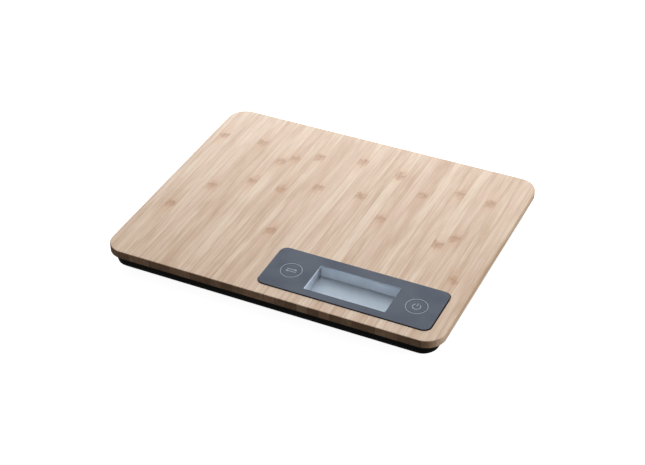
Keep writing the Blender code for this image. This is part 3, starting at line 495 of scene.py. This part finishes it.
def turned(name, profile, centre, steps=64, materials=()):
    """A round piece. The profile is (radius, height) points down from the top of the axis, or round
    a section that ends where it starts."""
    shape = bmesh.new()
    rings = []
    for radius, height in profile:
        if radius:
            points = ring_points(radius, centre, steps)
            rings.append([shape.verts.new((x, y, height)) for x, y in points])
        else:
            rings.append([shape.verts.new((*centre, height))])
    for upper, lower in zip(rings, rings[1:]):
        for i in range(steps):
            j = (i + 1) % steps
            corners = [upper[i % len(upper)], lower[i % len(lower)],
                       lower[j % len(lower)], upper[j % len(upper)]]
            distinct = list(dict.fromkeys(corners))
            if len(distinct) > 2:
                shape.faces.new(distinct)
    bmesh.ops.remove_doubles(shape, verts=shape.verts, dist=1e-7)
    bmesh.ops.recalc_face_normals(shape, faces=shape.faces)
    return object_from(shape, name, *materials)


for key, centre in KEY_CENTRES.items():
    ring = turned(f"{key}_ring", [
        (RING_INNER, FACE_LEVEL),
        (RING_OUTER, FACE_LEVEL),
        (RING_OUTER, FACE_LEVEL + PRINT_THICK),
        (RING_INNER, FACE_LEVEL + PRINT_THICK),
        (RING_INNER, FACE_LEVEL),
    ], centre, 96, [ink])
    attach(ring, "housing")

# --------------------------------------------------
# Window. A clear acrylic pane, flush with the panel's face, over the display's light tunnel.
# --------------------------------------------------


def clear_acrylic():
    """Light from lamps passes the pane, so that the display under it is lit."""
    material, tree, shader, place = new_material("clear_acrylic", (0.97, 0.99, 1.0), 0.03)
    shader.inputs["Transmission Weight"].default_value = 1.0
    shader.inputs["IOR"].default_value = 1.49
    haze = stretched_noise(tree, place, (60, 60, 60), 3.0)
    tree.links.new(span(tree, haze, 0.3, 0.7, 0.05, 0.07), shader.inputs["Roughness"])
    ray = add(tree, "ShaderNodeLightPath")
    passing = add(tree, "ShaderNodeBsdfTransparent", {"Color": (0.94, 0.96, 0.97, 1)})
    either = add(tree, "ShaderNodeMixShader")
    tree.links.new(ray.outputs["Is Shadow Ray"], either.inputs[0])
    tree.links.new(shader.outputs[0], either.inputs[1])
    tree.links.new(passing.outputs[0], either.inputs[2])
    tree.links.new(either.outputs[0], tree.nodes["Material Output"].inputs["Surface"])
    return material


PANE_GAP, PANE_THICK = 0.03 * MM, 0.5 * MM
pane = solid("window_pane",
             outline([side - 2 * PANE_GAP for side in WINDOW_SIZE], WINDOW_CENTRE, 0.35 * MM, 4),
             FACE_LEVEL - PANE_THICK, FACE_LEVEL, materials=[clear_acrylic()])
smooth(pane)
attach(pane, "housing")

# --------------------------------------------------
# Keys. Each is a flush slate disc on a moulded stem, with a flange that keeps it under the panel.
# A small symbol is printed on it: a pair of opposed arrows on the left, to change the unit, and
# the power sign on the right.
# --------------------------------------------------
KEY_RADIUS, FLANGE_RADIUS, STEM_RADIUS = 6.35 * MM, 7.4 * MM, 1.5 * MM
FLANGE_TOP = PLATE_LOW - 0.15 * MM
FLANGE_LOW = FLANGE_TOP - 0.6 * MM
STROKE = 0.48 * MM


def stroke_mesh(shape, points, width, level):
    """A printed line of even width along the points, added to a mesh."""
    path = [Vector(point) for point in points]
    sides = []
    for i, here in enumerate(path):
        before, after = path[max(i - 1, 0)], path[min(i + 1, len(path) - 1)]
        along = (after - before).normalized()
        aside = Vector((-along.y, along.x)) * width / 2
        sides.append([
            shape.verts.new((*(here + aside), level)),
            shape.verts.new((*(here - aside), level)),
            shape.verts.new((*(here - aside), level + PRINT_THICK)),
            shape.verts.new((*(here + aside), level + PRINT_THICK)),
        ])
    for here, there in zip(sides, sides[1:]):
        for i in range(4):
            j = (i + 1) % 4
            shape.faces.new((here[i], here[j], there[j], there[i]))
    shape.faces.new(sides[0])
    shape.faces.new(reversed(sides[-1]))


def arc(centre, radius, start, end, steps):
    angles = [math.radians(start + (end - start) * i / steps) for i in range(steps + 1)]
    return [(centre[0] + radius * math.cos(a), centre[1] + radius * math.sin(a)) for a in angles]


def arrowhead(shape, tip, way, size, level):
    """A small filled triangle that points left or right."""
    corners = [(tip[0], tip[1]), (tip[0] - way * size, tip[1] + size * 0.62),
               (tip[0] - way * size, tip[1] - size * 0.62)]
    low = [shape.verts.new((x, y, level)) for x, y in corners]
    high = [shape.verts.new((x, y, level + PRINT_THICK)) for x, y in corners]
    shape.faces.new(low)
    shape.faces.new(high)
    for i in range(3):
        j = (i + 1) % 3
        shape.faces.new((low[i], low[j], high[j], high[i]))


def print_symbol(name, draw, centre, body):
    shape = bmesh.new()
    draw(shape, *centre)
    bmesh.ops.recalc_face_normals(shape, faces=shape.faces)
    made = object_from(shape, name, ink)
    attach(made, body)


def unit_symbol(shape, x, y):
    """Two opposed arrows, one over the other."""
    for way in (1, -1):
        level = y + way * MM
        tail, neck, tip = x - way * 3.4 * MM, x + way * 2.0 * MM, x + way * 3.6 * MM
        stroke_mesh(shape, [(tail, level), (neck, level)], STROKE, FACE_LEVEL)
        arrowhead(shape, (tip, level), way, 1.6 * MM, FACE_LEVEL)


def power_symbol(shape, x, y):
    """An open ring with a bar in its gap."""
    ring = y - 0.3 * MM
    stroke_mesh(shape, arc((x, ring), 2.5 * MM, 125, 415, 40), STROKE, FACE_LEVEL)
    stroke_mesh(shape, [(x, ring + 0.5 * MM), (x, ring + 3.2 * MM)], STROKE, FACE_LEVEL)


for key, symbol in (("mode_key", unit_symbol), ("tare_key", power_symbol)):
    stem_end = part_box(key)[0].z
    disc = turned(f"{key}_disc", [
        (0, FACE_LEVEL),
        (KEY_RADIUS - 0.15 * MM, FACE_LEVEL),
        (KEY_RADIUS - 0.04 * MM, FACE_LEVEL - 0.04 * MM),
        (KEY_RADIUS, FACE_LEVEL - 0.15 * MM),
        (KEY_RADIUS, FLANGE_TOP),
        (FLANGE_RADIUS, FLANGE_TOP),
        (FLANGE_RADIUS, FLANGE_LOW),
        (STEM_RADIUS, FLANGE_LOW),
        (STEM_RADIUS, stem_end),
        (0, stem_end),
    ], KEY_CENTRES[key], 96, [slate, cut_edge])
    two_tone(disc)
    smooth(disc)
    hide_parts(key)
    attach(disc, key)
    print_symbol(f"{key}_symbol", symbol, KEY_CENTRES[key], key)

# --------------------------------------------------
# Display. A reflective liquid-crystal glass lies on the main board, deep below the window, in a
# pale moulded frame whose upper part is the light tunnel. The glass is two sheets, with a grey
# polariser on top, and its long front ledge carries the contacts.
# --------------------------------------------------
LCD_LOW, LCD_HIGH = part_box("lcd_glass")
FILM = 0.2 * MM
GLASS_EDGE = 0.08 * MM
SHEET_GAP = 0.02 * MM
CONTACT_LEDGE = 0.5 * MM


def shader_group(name, given, results):
    """A new group of shader nodes: its inputs to read from, and its outputs to feed."""
    group = bpy.data.node_groups.new(name, "ShaderNodeTree")
    for way, names in (("INPUT", given), ("OUTPUT", results)):
        for socket in names:
            group.interface.new_socket(socket, in_out=way, socket_type="NodeSocketFloat")
    place = group.nodes.new("ShaderNodeTexCoord").outputs["Object"]
    reads = group.nodes.new("NodeGroupInput").outputs
    return group, place, reads, group.nodes.new("NodeGroupOutput").inputs


def moulded_grain():
    """The fine spark-eroded texture of moulded plastic: a height, and a slow change of shade."""
    group, place, given, result = shader_group("moulded_grain", ["Grain Size"],
                                               ["Height", "Shade"])
    scale = maths(group, "DIVIDE", 1.0, given["Grain Size"])
    grain = add(group, "ShaderNodeTexNoise",
                {"Vector": place, "Scale": scale, "Detail": 3.0, "Roughness": 0.6})
    group.links.new(grain.outputs["Fac"], result["Height"])
    group.links.new(stretched_noise(group, place, (38, 38, 38), 3.0), result["Shade"])
    return group


grain_group = moulded_grain()


def moulded_plastic(name, colour, roughness=0.5, grain=0.35 * MM, depth=0.03 * MM, shine=0.5):
    material, tree, shader, _ = new_material(name, colour, roughness)
    shader.inputs["Specular IOR Level"].default_value = shine
    grain_node = add(tree, "ShaderNodeGroup", node_tree=grain_group)
    grain_node.inputs["Grain Size"].default_value = grain
    shade = grain_node.outputs["Shade"]
    darker, lighter = ([c * share for c in colour] for share in (0.88, 1.12))
    tree.links.new(blend_colours(tree, span(tree, shade, 0.3, 0.7), (*darker, 1), (*lighter, 1)),
                   shader.inputs["Base Color"])
    tree.links.new(span(tree, shade, 0.3, 0.7, roughness - 0.05, roughness + 0.06),
                   shader.inputs["Roughness"])
    tree.links.new(bump(tree, grain_node.outputs["Height"], 0.5, depth), shader.inputs["Normal"])
    return material


def tunnel_plastic_painted_shade():
    """Pale plastic. The end walls of the tunnel get painted shade: a darker colour that stands in
    for shade.
    """
    material = moulded_plastic("pale_moulding", (0.72, 0.77, 0.84), 0.45, 0.3 * MM)
    tree = material.node_tree
    colour = tree.nodes["Principled BSDF"].inputs["Base Color"]
    plain = colour.links[0].from_socket
    facing = add(tree, "ShaderNodeTexCoord").outputs["Normal"]
    aside = add(tree, "ShaderNodeSeparateXYZ", {0: facing}).outputs["X"]
    # Painted shade: the walls that face along X are darkened, standing in for the shade on them
    end_wall_painted_shade = span(tree, maths(tree, "ABSOLUTE", aside), 0.5, 0.9)
    painted_end_shade = blend_colours(tree, 1.0, plain, (0.50, 0.51, 0.53, 1), "MULTIPLY")
    tree.links.new(blend_colours(tree, end_wall_painted_shade, plain, painted_end_shade), colour)
    return material


lcd_centre, lcd_size = plan_of("lcd_glass")
middle = (LCD_LOW.z + LCD_HIGH.z - FILM) / 2
glass_material = mottled("display_glass", (900, 900, 3000), (0.34, 0.45, 0.47),
                         (0.48, 0.58, 0.60), (0.04, 0.12))
film_material = mottled("grey_polariser", (420, 420, 420), (0.435, 0.49, 0.555),
                        (0.485, 0.54, 0.61), (0.3, 0.4), 4.0, spread=(0.3, 0.7),
                        grain=(7000, 1.0, 0.15, 0.01 * MM))
lower_glass = solid("lcd_lower_glass", outline(lcd_size, lcd_centre), LCD_LOW.z, middle,
                    GLASS_EDGE, GLASS_EDGE, 1, [glass_material])
upper_size = (lcd_size[0], lcd_size[1] - CONTACT_LEDGE)
upper_centre = (lcd_centre[0], lcd_centre[1] + CONTACT_LEDGE / 2)
upper_glass = solid("lcd_upper_glass", outline(upper_size, upper_centre), middle + SHEET_GAP,
                    LCD_HIGH.z - FILM, GLASS_EDGE, GLASS_EDGE, 1, [glass_material])
film = solid("lcd_polariser",
             outline([side - 0.8 * MM for side in upper_size], upper_centre, 0.3 * MM, 3),
             LCD_HIGH.z - FILM + SHEET_GAP, LCD_HIGH.z, 0.04 * MM, 0, 1, [film_material])
for piece in (lower_glass, upper_glass, film):
    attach(piece, "housing")
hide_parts("lcd_glass")
dress("lcd_frame", tunnel_plastic_painted_shade())
dress("lcd_backing", foam("white_foam", (0.78, 0.78, 0.76)))


def layered_rubber():
    """Carbon and clear layers, stacked along the strip."""
    material, tree, shader, place = new_material("layered_rubber", (0.3, 0.3, 0.32), 0.6)
    layers = add(tree, "ShaderNodeTexWave", {"Vector": place, "Scale": 1250.0, "Distortion": 0.0},
                 wave_type="BANDS", bands_direction="X")
    tree.links.new(blend_colours(tree, layers.outputs["Fac"], (0.02, 0.02, 0.02, 1),
                                 (0.55, 0.55, 0.56, 1)), shader.inputs["Base Color"])
    return material


dress("lcd_connector", layered_rubber())

# --------------------------------------------------
# Key board, main board and what is soldered to them. Green fibreglass boards with copper tracks
# under the mask. The controller is a drop of black epoxy, and the switches are black domes.
# --------------------------------------------------


def green_board():
    material, tree, shader, place = new_material("green_circuit_board", (0.02, 0.15, 0.06), 0.32)
    grid = add(tree, "ShaderNodeTexBrick",
               {"Vector": place, "Scale": 420.0, "Color1": (0, 0, 0, 1), "Color2": (1, 1, 1, 1),
                "Mortar": (0, 0, 0, 1), "Mortar Size": 0.012, "Bias": -0.25}, offset=0.5)
    tracks = add(tree, "ShaderNodeTexWave", {"Vector": place, "Scale": 190.0, "Distortion": 3.5,
                                             "Detail": 0.0}, wave_type="BANDS")
    line = maths(tree, "MULTIPLY", span(tree, tracks.outputs["Fac"], 0.72, 0.80),
                 grid.outputs["Color"])
    tree.links.new(blend_colours(tree, line, (0.012, 0.11, 0.045, 1), (0.05, 0.26, 0.10, 1)),
                   shader.inputs["Base Color"])
    tree.links.new(bump(tree, line, 0.3, 0.03 * MM), shader.inputs["Normal"])
    return material


circuit_board = green_board()
dress("main_pcb", circuit_board)
dress("key_board", circuit_board)
epoxy = moulded_plastic("black_epoxy", (0.012, 0.012, 0.013), 0.28, 0.8 * MM, 0.02 * MM)
for part in ("controller_blob", "amplifier_chip", "mode_switch", "tare_switch"):
    dress(part, epoxy)

# --------------------------------------------------
# Base. A shallow tray moulded in black plastic, rounded up from its flat underside, with a fine
# matt texture. It has bosses for the screws, the battery bay, and an opening for each foot with a
# raised ring moulded round it.
# --------------------------------------------------
BASE_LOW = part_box("base_shell")[0].z
CORNERS = ("front_left", "front_right", "back_left", "back_right")


def merged_copy(node, name, material):
    """A copy of one of the frame's pieces, with its loose triangles merged into one skin."""
    shape = bmesh.new()
    shape.from_mesh(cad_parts[node].data)
    bmesh.ops.remove_doubles(shape, verts=shape.verts, dist=1e-6)
    bmesh.ops.dissolve_limit(shape, angle_limit=math.radians(0.5), verts=shape.verts,
                             edges=shape.edges)
    return object_from(shape, name, material)


def node_inputs(group, sockets):
    """Declares a geometry group's inputs, and its one output."""
    for name, kind in sockets.items():
        group.interface.new_socket(name, in_out="INPUT", socket_type=f"NodeSocket{kind}")
    group.interface.new_socket("Geometry", in_out="OUTPUT", socket_type="NodeSocketGeometry")
    return group.nodes.new("NodeGroupInput").outputs, group.nodes.new("NodeGroupOutput").inputs


def set_copies(group, points, piece, finish, result, **turn):
    """Sets a copy of the piece on each point, and gives the copies their material."""
    copies = add(group, "GeometryNodeInstanceOnPoints",
                 {"Points": points, "Instance": piece, **turn})
    real = add(group, "GeometryNodeRealizeInstances", {"Geometry": copies.outputs[0]})
    finished = add(group, "GeometryNodeSetMaterial",
                   {"Geometry": real.outputs[0], "Material": finish})
    group.links.new(finished.outputs[0], result["Geometry"])


def copies_at_points():
    """Sets a copy of a piece on each point, turned about its axis by chance."""
    group = bpy.data.node_groups.new("copies_at_points", "GeometryNodeTree")
    given, result = node_inputs(group, {"Geometry": "Geometry", "Piece": "Object",
                                        "Most Turn": "Float", "Seed": "Int",
                                        "Finish": "Material"})
    turn = add(group, "FunctionNodeRandomValue", {"Min": 0.0, "Max": given["Most Turn"],
                                                  "Seed": given["Seed"]}, data_type="FLOAT")
    chosen = next(s for s in turn.outputs if s.enabled)
    facing = add(group, "ShaderNodeCombineXYZ", {"Z": chosen})
    piece = add(group, "GeometryNodeObjectInfo", {"Object": given["Piece"]})
    points = add(group, "GeometryNodeMeshToPoints", {"Mesh": given["Geometry"]})
    set_copies(group, points.outputs[0], piece.outputs["Geometry"], given["Finish"], result,
               Rotation=facing.outputs[0])
    return group


def grow(name, group, points=(), **given):
    """Runs a geometry group on the points, and keeps what it makes as a plain mesh."""
    mesh = bpy.data.meshes.new(name)
    mesh.from_pydata(points, [], [])
    made = new_object(name, mesh)
    modifier = made.modifiers.new("grow", "NODES")
    for socket in group.interface.items_tree:
        wanted = socket.name.replace(" ", "_").lower()
        if socket.in_out == "INPUT" and wanted in given:
            modifier[socket.identifier] = given[wanted]
    modifier.node_group = group
    return settle(made)


black_plastic = moulded_plastic("black_moulding", (0.004, 0.004, 0.0043), 0.42, 0.45 * MM,
                                0.03 * MM, shine=0.25)
base = merged_copy("base_shell", "base_tray", black_plastic)
smooth(base, 40)
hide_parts("base_shell")
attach(base, "housing")

copies_group = copies_at_points()
foot_centres = [plan_of(f"foot_pad_{corner}")[0] for corner in CORNERS]
raised_ring = turned("raised_ring", [
    (10.5 * MM, 0.1 * MM),
    (11.6 * MM, 0.1 * MM),
    (11.4 * MM, -0.16 * MM),
    (11.2 * MM, -0.22 * MM),
    (10.9 * MM, -0.22 * MM),
    (10.7 * MM, -0.16 * MM),
    (10.5 * MM, 0.1 * MM),
], (0, 0), 72)
rings = grow("foot_rings", copies_group, [(*centre, BASE_LOW) for centre in foot_centres],
             piece=raised_ring, most_turn=0.0, seed=1, finish=black_plastic)
bpy.data.objects.remove(raised_ring)
smooth(rings)
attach(rings, "housing")

# --------------------------------------------------
# Battery door, coin cell and its contacts. The door is the same black plastic as the base, with
# grip ridges near its latch and a raised plus sign that shows which way up the cell goes. The cell
# is a stainless can, and the contacts are nickel strip.
# --------------------------------------------------
DOOR_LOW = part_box("battery_door")[0]
DOOR_MIDDLE = plan_of("battery_door")[0][0]
GRIP_PITCH = 1.6 * MM
PLUS_LONG, PLUS_WIDE = 5 * MM, 0.9 * MM


def row_of_bars():
    """Rounded bars side by side, at an even pitch."""
    group = bpy.data.node_groups.new("row_of_bars", "GeometryNodeTree")
    given, result = node_inputs(group, {"Geometry": "Geometry", "Count": "Int",
                                        "Start": "Vector", "Step": "Vector",
                                        "Length": "Float", "Radius": "Float",
                                        "Finish": "Material"})
    half = maths(group, "MULTIPLY", given["Length"], 0.5)
    left = add(group, "ShaderNodeCombineXYZ", {"X": maths(group, "MULTIPLY", half, -1.0)})
    right = add(group, "ShaderNodeCombineXYZ", {"X": half})
    spine = add(group, "GeometryNodeCurvePrimitiveLine",
                {"Start": left.outputs[0], "End": right.outputs[0]})
    section = add(group, "GeometryNodeCurvePrimitiveCircle",
                  {"Resolution": 16, "Radius": given["Radius"]})
    bar = add(group, "GeometryNodeCurveToMesh",
              {"Curve": spine.outputs[0], "Profile Curve": section.outputs[0],
               "Fill Caps": True})
    line = add(group, "GeometryNodeMeshLine",
               {"Count": given["Count"], "Start Location": given["Start"],
                "Offset": given["Step"]}, mode="OFFSET")
    set_copies(group, line.outputs[0], bar.outputs[0], given["Finish"], result)
    return group


door = merged_copy("battery_door", "battery_cover", black_plastic)
smooth(door, 40)
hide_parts("battery_door")
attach(door, "battery_door")
grip = grow("door_grip", row_of_bars(), count=6,
            start=Vector((DOOR_MIDDLE, DOOR_LOW.y + 4.5 * MM, DOOR_LOW.z)),
            step=Vector((0, GRIP_PITCH, 0)), length=14 * MM, radius=0.32 * MM,
            finish=black_plastic)
smooth(grip)
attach(grip, "battery_door")
plus, bar = [
    solid("door_plus_sign", outline(size, (DOOR_MIDDLE, DOOR_LOW.y + 21 * MM), 0.3 * MM, 4),
          DOOR_LOW.z - 0.2 * MM, DOOR_LOW.z + 0.1 * MM, 0, 0.06 * MM, 1, [black_plastic])
    for size in ((PLUS_LONG, PLUS_WIDE), (PLUS_WIDE, PLUS_LONG))
]
carve(plus, bar, operation="UNION")
smooth(plus)
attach(plus, "battery_door")


def worn_metal():
    """Fine scratches and a slow change of polish, for all the small metal pieces."""
    group, place, given, result = shader_group("worn_metal", ["Polish"],
                                               ["Height", "Roughness", "Tarnish"])
    scratches = stretched_noise(group, place, (4200, 240, 4200), 4.0)
    clouds = stretched_noise(group, place, (160, 160, 160), 3.0)
    rough = maths(group, "ADD", given["Polish"], span(group, scratches, 0.3, 0.7, -0.06, 0.12))
    group.links.new(scratches, result["Height"])
    group.links.new(rough, result["Roughness"])
    group.links.new(span(group, clouds, 0.4, 0.7), result["Tarnish"])
    return group


metal_group = worn_metal()


def bare_metal(name, colour, polish):
    material, tree, shader, _ = new_material(name, colour, polish, 1.0)
    worn = add(tree, "ShaderNodeGroup", node_tree=metal_group)
    worn.inputs["Polish"].default_value = polish
    dull = tuple(c * 0.72 for c in colour)
    tree.links.new(blend_colours(tree, worn.outputs["Tarnish"], (*colour, 1), (*dull, 1)),
                   shader.inputs["Base Color"])
    tree.links.new(worn.outputs["Roughness"], shader.inputs["Roughness"])
    tree.links.new(bump(tree, worn.outputs["Height"], 0.2, 0.01 * MM), shader.inputs["Normal"])
    return material


stainless = bare_metal("stainless_can", (0.60, 0.60, 0.58), 0.24)
nickel = bare_metal("nickel_strip", (0.64, 0.60, 0.53), 0.22)
zinc = bare_metal("zinc_plate", (0.62, 0.63, 0.65), 0.30)
spring_steel = bare_metal("spring_steel", (0.50, 0.50, 0.51), 0.34)
dress("coin_cell", stainless)
dress("contact_top", nickel)
dress("contact_side", nickel)

# --------------------------------------------------
# Feet and load cells. Each foot is a black cup with a rubber pad pressed into it, and it pushes
# up on a stamped steel strip that carries a strain gauge under pale silicone.
# --------------------------------------------------
PAD_RADIUS = 7.6 * MM
PAD_GROOVES = (6.2, 4.6, 3.0)
GROOVE_DEPTH = 0.25 * MM
rubber = mottled("black_rubber", (260, 260, 260), (0.018, 0.018, 0.019), (0.055, 0.053, 0.05),
                 (0.72, 0.9), 4.0, spread=(0.5, 0.8), rough_spread=(0.4, 0.8),
                 grain=(2400, 4.0, 0.4, 0.05 * MM))
silicone = moulded_plastic("pale_silicone", (0.72, 0.70, 0.62), 0.35, 1.2 * MM, 0.05 * MM)
for corner, centre in zip(CORNERS, foot_centres):
    cup = merged_copy(f"foot_cup_{corner}", f"foot_{corner}_cup", black_plastic)
    smooth(cup, 40)
    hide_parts(f"foot_cup_{corner}")
    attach(cup, f"foot_{corner}")
    low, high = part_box(f"foot_pad_{corner}")
    grooves = [
        ((radius + aside) * MM, low.z + depth)
        for radius in PAD_GROOVES
        for aside, depth in ((0.35, 0), (0.15, GROOVE_DEPTH), (-0.15, GROOVE_DEPTH), (-0.35, 0))
    ]
    pad = turned(f"foot_{corner}_pad", [
        (0, high.z),
        (PAD_RADIUS, high.z),
        (PAD_RADIUS, low.z + 0.4 * MM),
        (PAD_RADIUS - 0.12 * MM, low.z + 0.12 * MM),
        (PAD_RADIUS - 0.4 * MM, low.z),
        *grooves,
        (0, low.z),
    ], centre, 64, [rubber])
    smooth(pad, 35)
    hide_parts(f"foot_pad_{corner}")
    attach(pad, f"foot_{corner}")
    dress(f"load_cell_{corner}", spring_steel)
    dress(f"strain_gauge_{corner}", silicone)
    for end in ("outer", "inner"):
        dress(f"cell_screw_{corner}_{end}", zinc)

# --------------------------------------------------
# Wires. Stranded leads in soft coloured insulation.
# --------------------------------------------------
for colour_name, colour, leads in (
    ("grey", (0.36, 0.36, 0.38), ("key_board_lead", *(f"lead_{corner}" for corner in CORNERS))),
    ("red", (0.45, 0.015, 0.012), ("battery_lead_red",)),
    ("black", (0.015, 0.015, 0.016), ("battery_lead_black",)),
):
    insulation = moulded_plastic(f"{colour_name}_insulation", colour, 0.42, 0.6 * MM, 0.02 * MM)
    for lead in leads:
        dress(lead, insulation)

# --------------------------------------------------
# Screws. Zinc-plated pan heads with a cross recess hold the base to the board, sunk in pockets.
# Two more hold the main board.
# --------------------------------------------------
for number in (1, 2):
    dress(f"pcb_screw_{number}", zinc)
screw_names = [f"board_screw_{number}" for number in range(1, 7)]
SCREW_LOW, SCREW_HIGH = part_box(screw_names[0])
SHANK_RADIUS, HEAD_RADIUS, HEAD_THICK = 1.0 * MM, 2.8 * MM, 1.3 * MM
CROSS_LONG, CROSS_WIDE, CROSS_DEPTH = 2.7 * MM, 0.6 * MM, 0.75 * MM
screw = turned("base_screw", [
    (0, SCREW_HIGH.z),
    (SHANK_RADIUS / 2, SCREW_HIGH.z - 0.5 * MM),
    (SHANK_RADIUS, SCREW_HIGH.z - 1.2 * MM),
    (SHANK_RADIUS, SCREW_LOW.z + HEAD_THICK),
    (HEAD_RADIUS, SCREW_LOW.z + HEAD_THICK),
    (HEAD_RADIUS, SCREW_LOW.z + 0.5 * MM),
    (HEAD_RADIUS - 0.25 * MM, SCREW_LOW.z + 0.15 * MM),
    (HEAD_RADIUS - 0.7 * MM, SCREW_LOW.z),
    (0, SCREW_LOW.z),
], (0, 0), 40)
carve(screw, *[
    solid("blade", outline(size), SCREW_LOW.z - MM, SCREW_LOW.z + CROSS_DEPTH)
    for size in ((CROSS_LONG, CROSS_WIDE), (CROSS_WIDE, CROSS_LONG))
])
screw_places = [(*plan_of(name)[0], 0) for name in screw_names]
screws = grow("base_screws", copies_group, screw_places, piece=screw, most_turn=math.pi / 2,
              seed=7, finish=zinc)
bpy.data.objects.remove(screw)
smooth(screws, 35)
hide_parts(*screw_names)
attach(screws, "housing")

# --------------------------------------------------
# Sticker. A silver film on the underside, with the empty frame and rules of a data plate printed
# on it in black.
# --------------------------------------------------
dress("underside_label", mottled("silver_film", (60, 2600, 60), (0.48, 0.48, 0.50),
                                 (0.62, 0.62, 0.64), (0.3, 0.45)))
LABEL_LOW, LABEL_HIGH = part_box("underside_label")
MARGIN = 2 * MM
FRAME_LINE, RULE_LINE = 0.35 * MM, 0.25 * MM
left, right = LABEL_LOW.x + MARGIN, LABEL_HIGH.x - MARGIN
front, back = LABEL_LOW.y + MARGIN, LABEL_HIGH.y - MARGIN
print_level = LABEL_LOW.z - PRINT_THICK
plate_print = bmesh.new()
frame_corners = [(left, front), (right, front), (right, back), (left, back)]
for start, end in zip(frame_corners, frame_corners[1:] + frame_corners[:1]):
    stroke_mesh(plate_print, [start, end], FRAME_LINE, print_level)
for rule in (0.34, 0.67):
    level = front + rule * (back - front)
    stroke_mesh(plate_print, [(left + 1.5 * MM, level), (right - 1.5 * MM, level)], RULE_LINE,
                print_level)
bmesh.ops.recalc_face_normals(plate_print, faces=plate_print.faces)
label_print = object_from(plate_print, "label_print", mottled(
    "black_print", (5000, 5000, 5000), (0.016, 0.016, 0.018), (0.05, 0.05, 0.053), (0.5, 0.5),
    spread=(0.35, 0.65), unevenness=0.7))
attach(label_print, "housing")

# --------------------------------------------------
# Floor and light. A plain white floor. A large soft box stands behind and to the left, low enough
# to lay a sheen over the wood, with a smaller one at the right and a weak one overhead.
# --------------------------------------------------
FLOOR_SIZE = 12.0
white_floor, _, floor_shader, _ = new_material("white_floor", (0.85, 0.85, 0.85), 0.9)
floor_shader.inputs["Emission Color"].default_value = (1, 1, 1, 1)
floor_shader.inputs["Emission Strength"].default_value = 0.93
floor = solid("floor", outline((FLOOR_SIZE, FLOOR_SIZE)), -20 * MM, 0, materials=[white_floor])
floor.visible_diffuse = False
floor.visible_glossy = False


def soft_box(name, azimuth, height, distance, size, power):
    lamp = bpy.data.lights.new(name, "AREA")
    lamp.shape = "RECTANGLE"
    lamp.size, lamp.size_y = size
    lamp.energy = power
    made = bpy.data.objects.new(name, lamp)
    bpy.context.scene.collection.objects.link(made)
    way = direction(math.radians(azimuth), math.radians(height))
    made.location = distance * way
    made.rotation_euler = way.to_track_quat("Z", "Y").to_euler()


soft_box("back_box", 199, 17, 1.4, (1.2, 0.6), 16)
soft_box("right_box", 112, 12, 1.5, (0.8, 0.6), 13.5)
soft_box("overhead_box", 184, 68, 0.9, (0.7, 0.7), 3.6)
world = bpy.data.worlds.new("studio")
world.use_nodes = True
world.node_tree.nodes["Background"].inputs["Color"].default_value = (1, 1, 1, 1)
world.node_tree.nodes["Background"].inputs["Strength"].default_value = 0.11
bpy.context.scene.world = world
bpy.context.scene.view_settings.view_transform = "Standard"
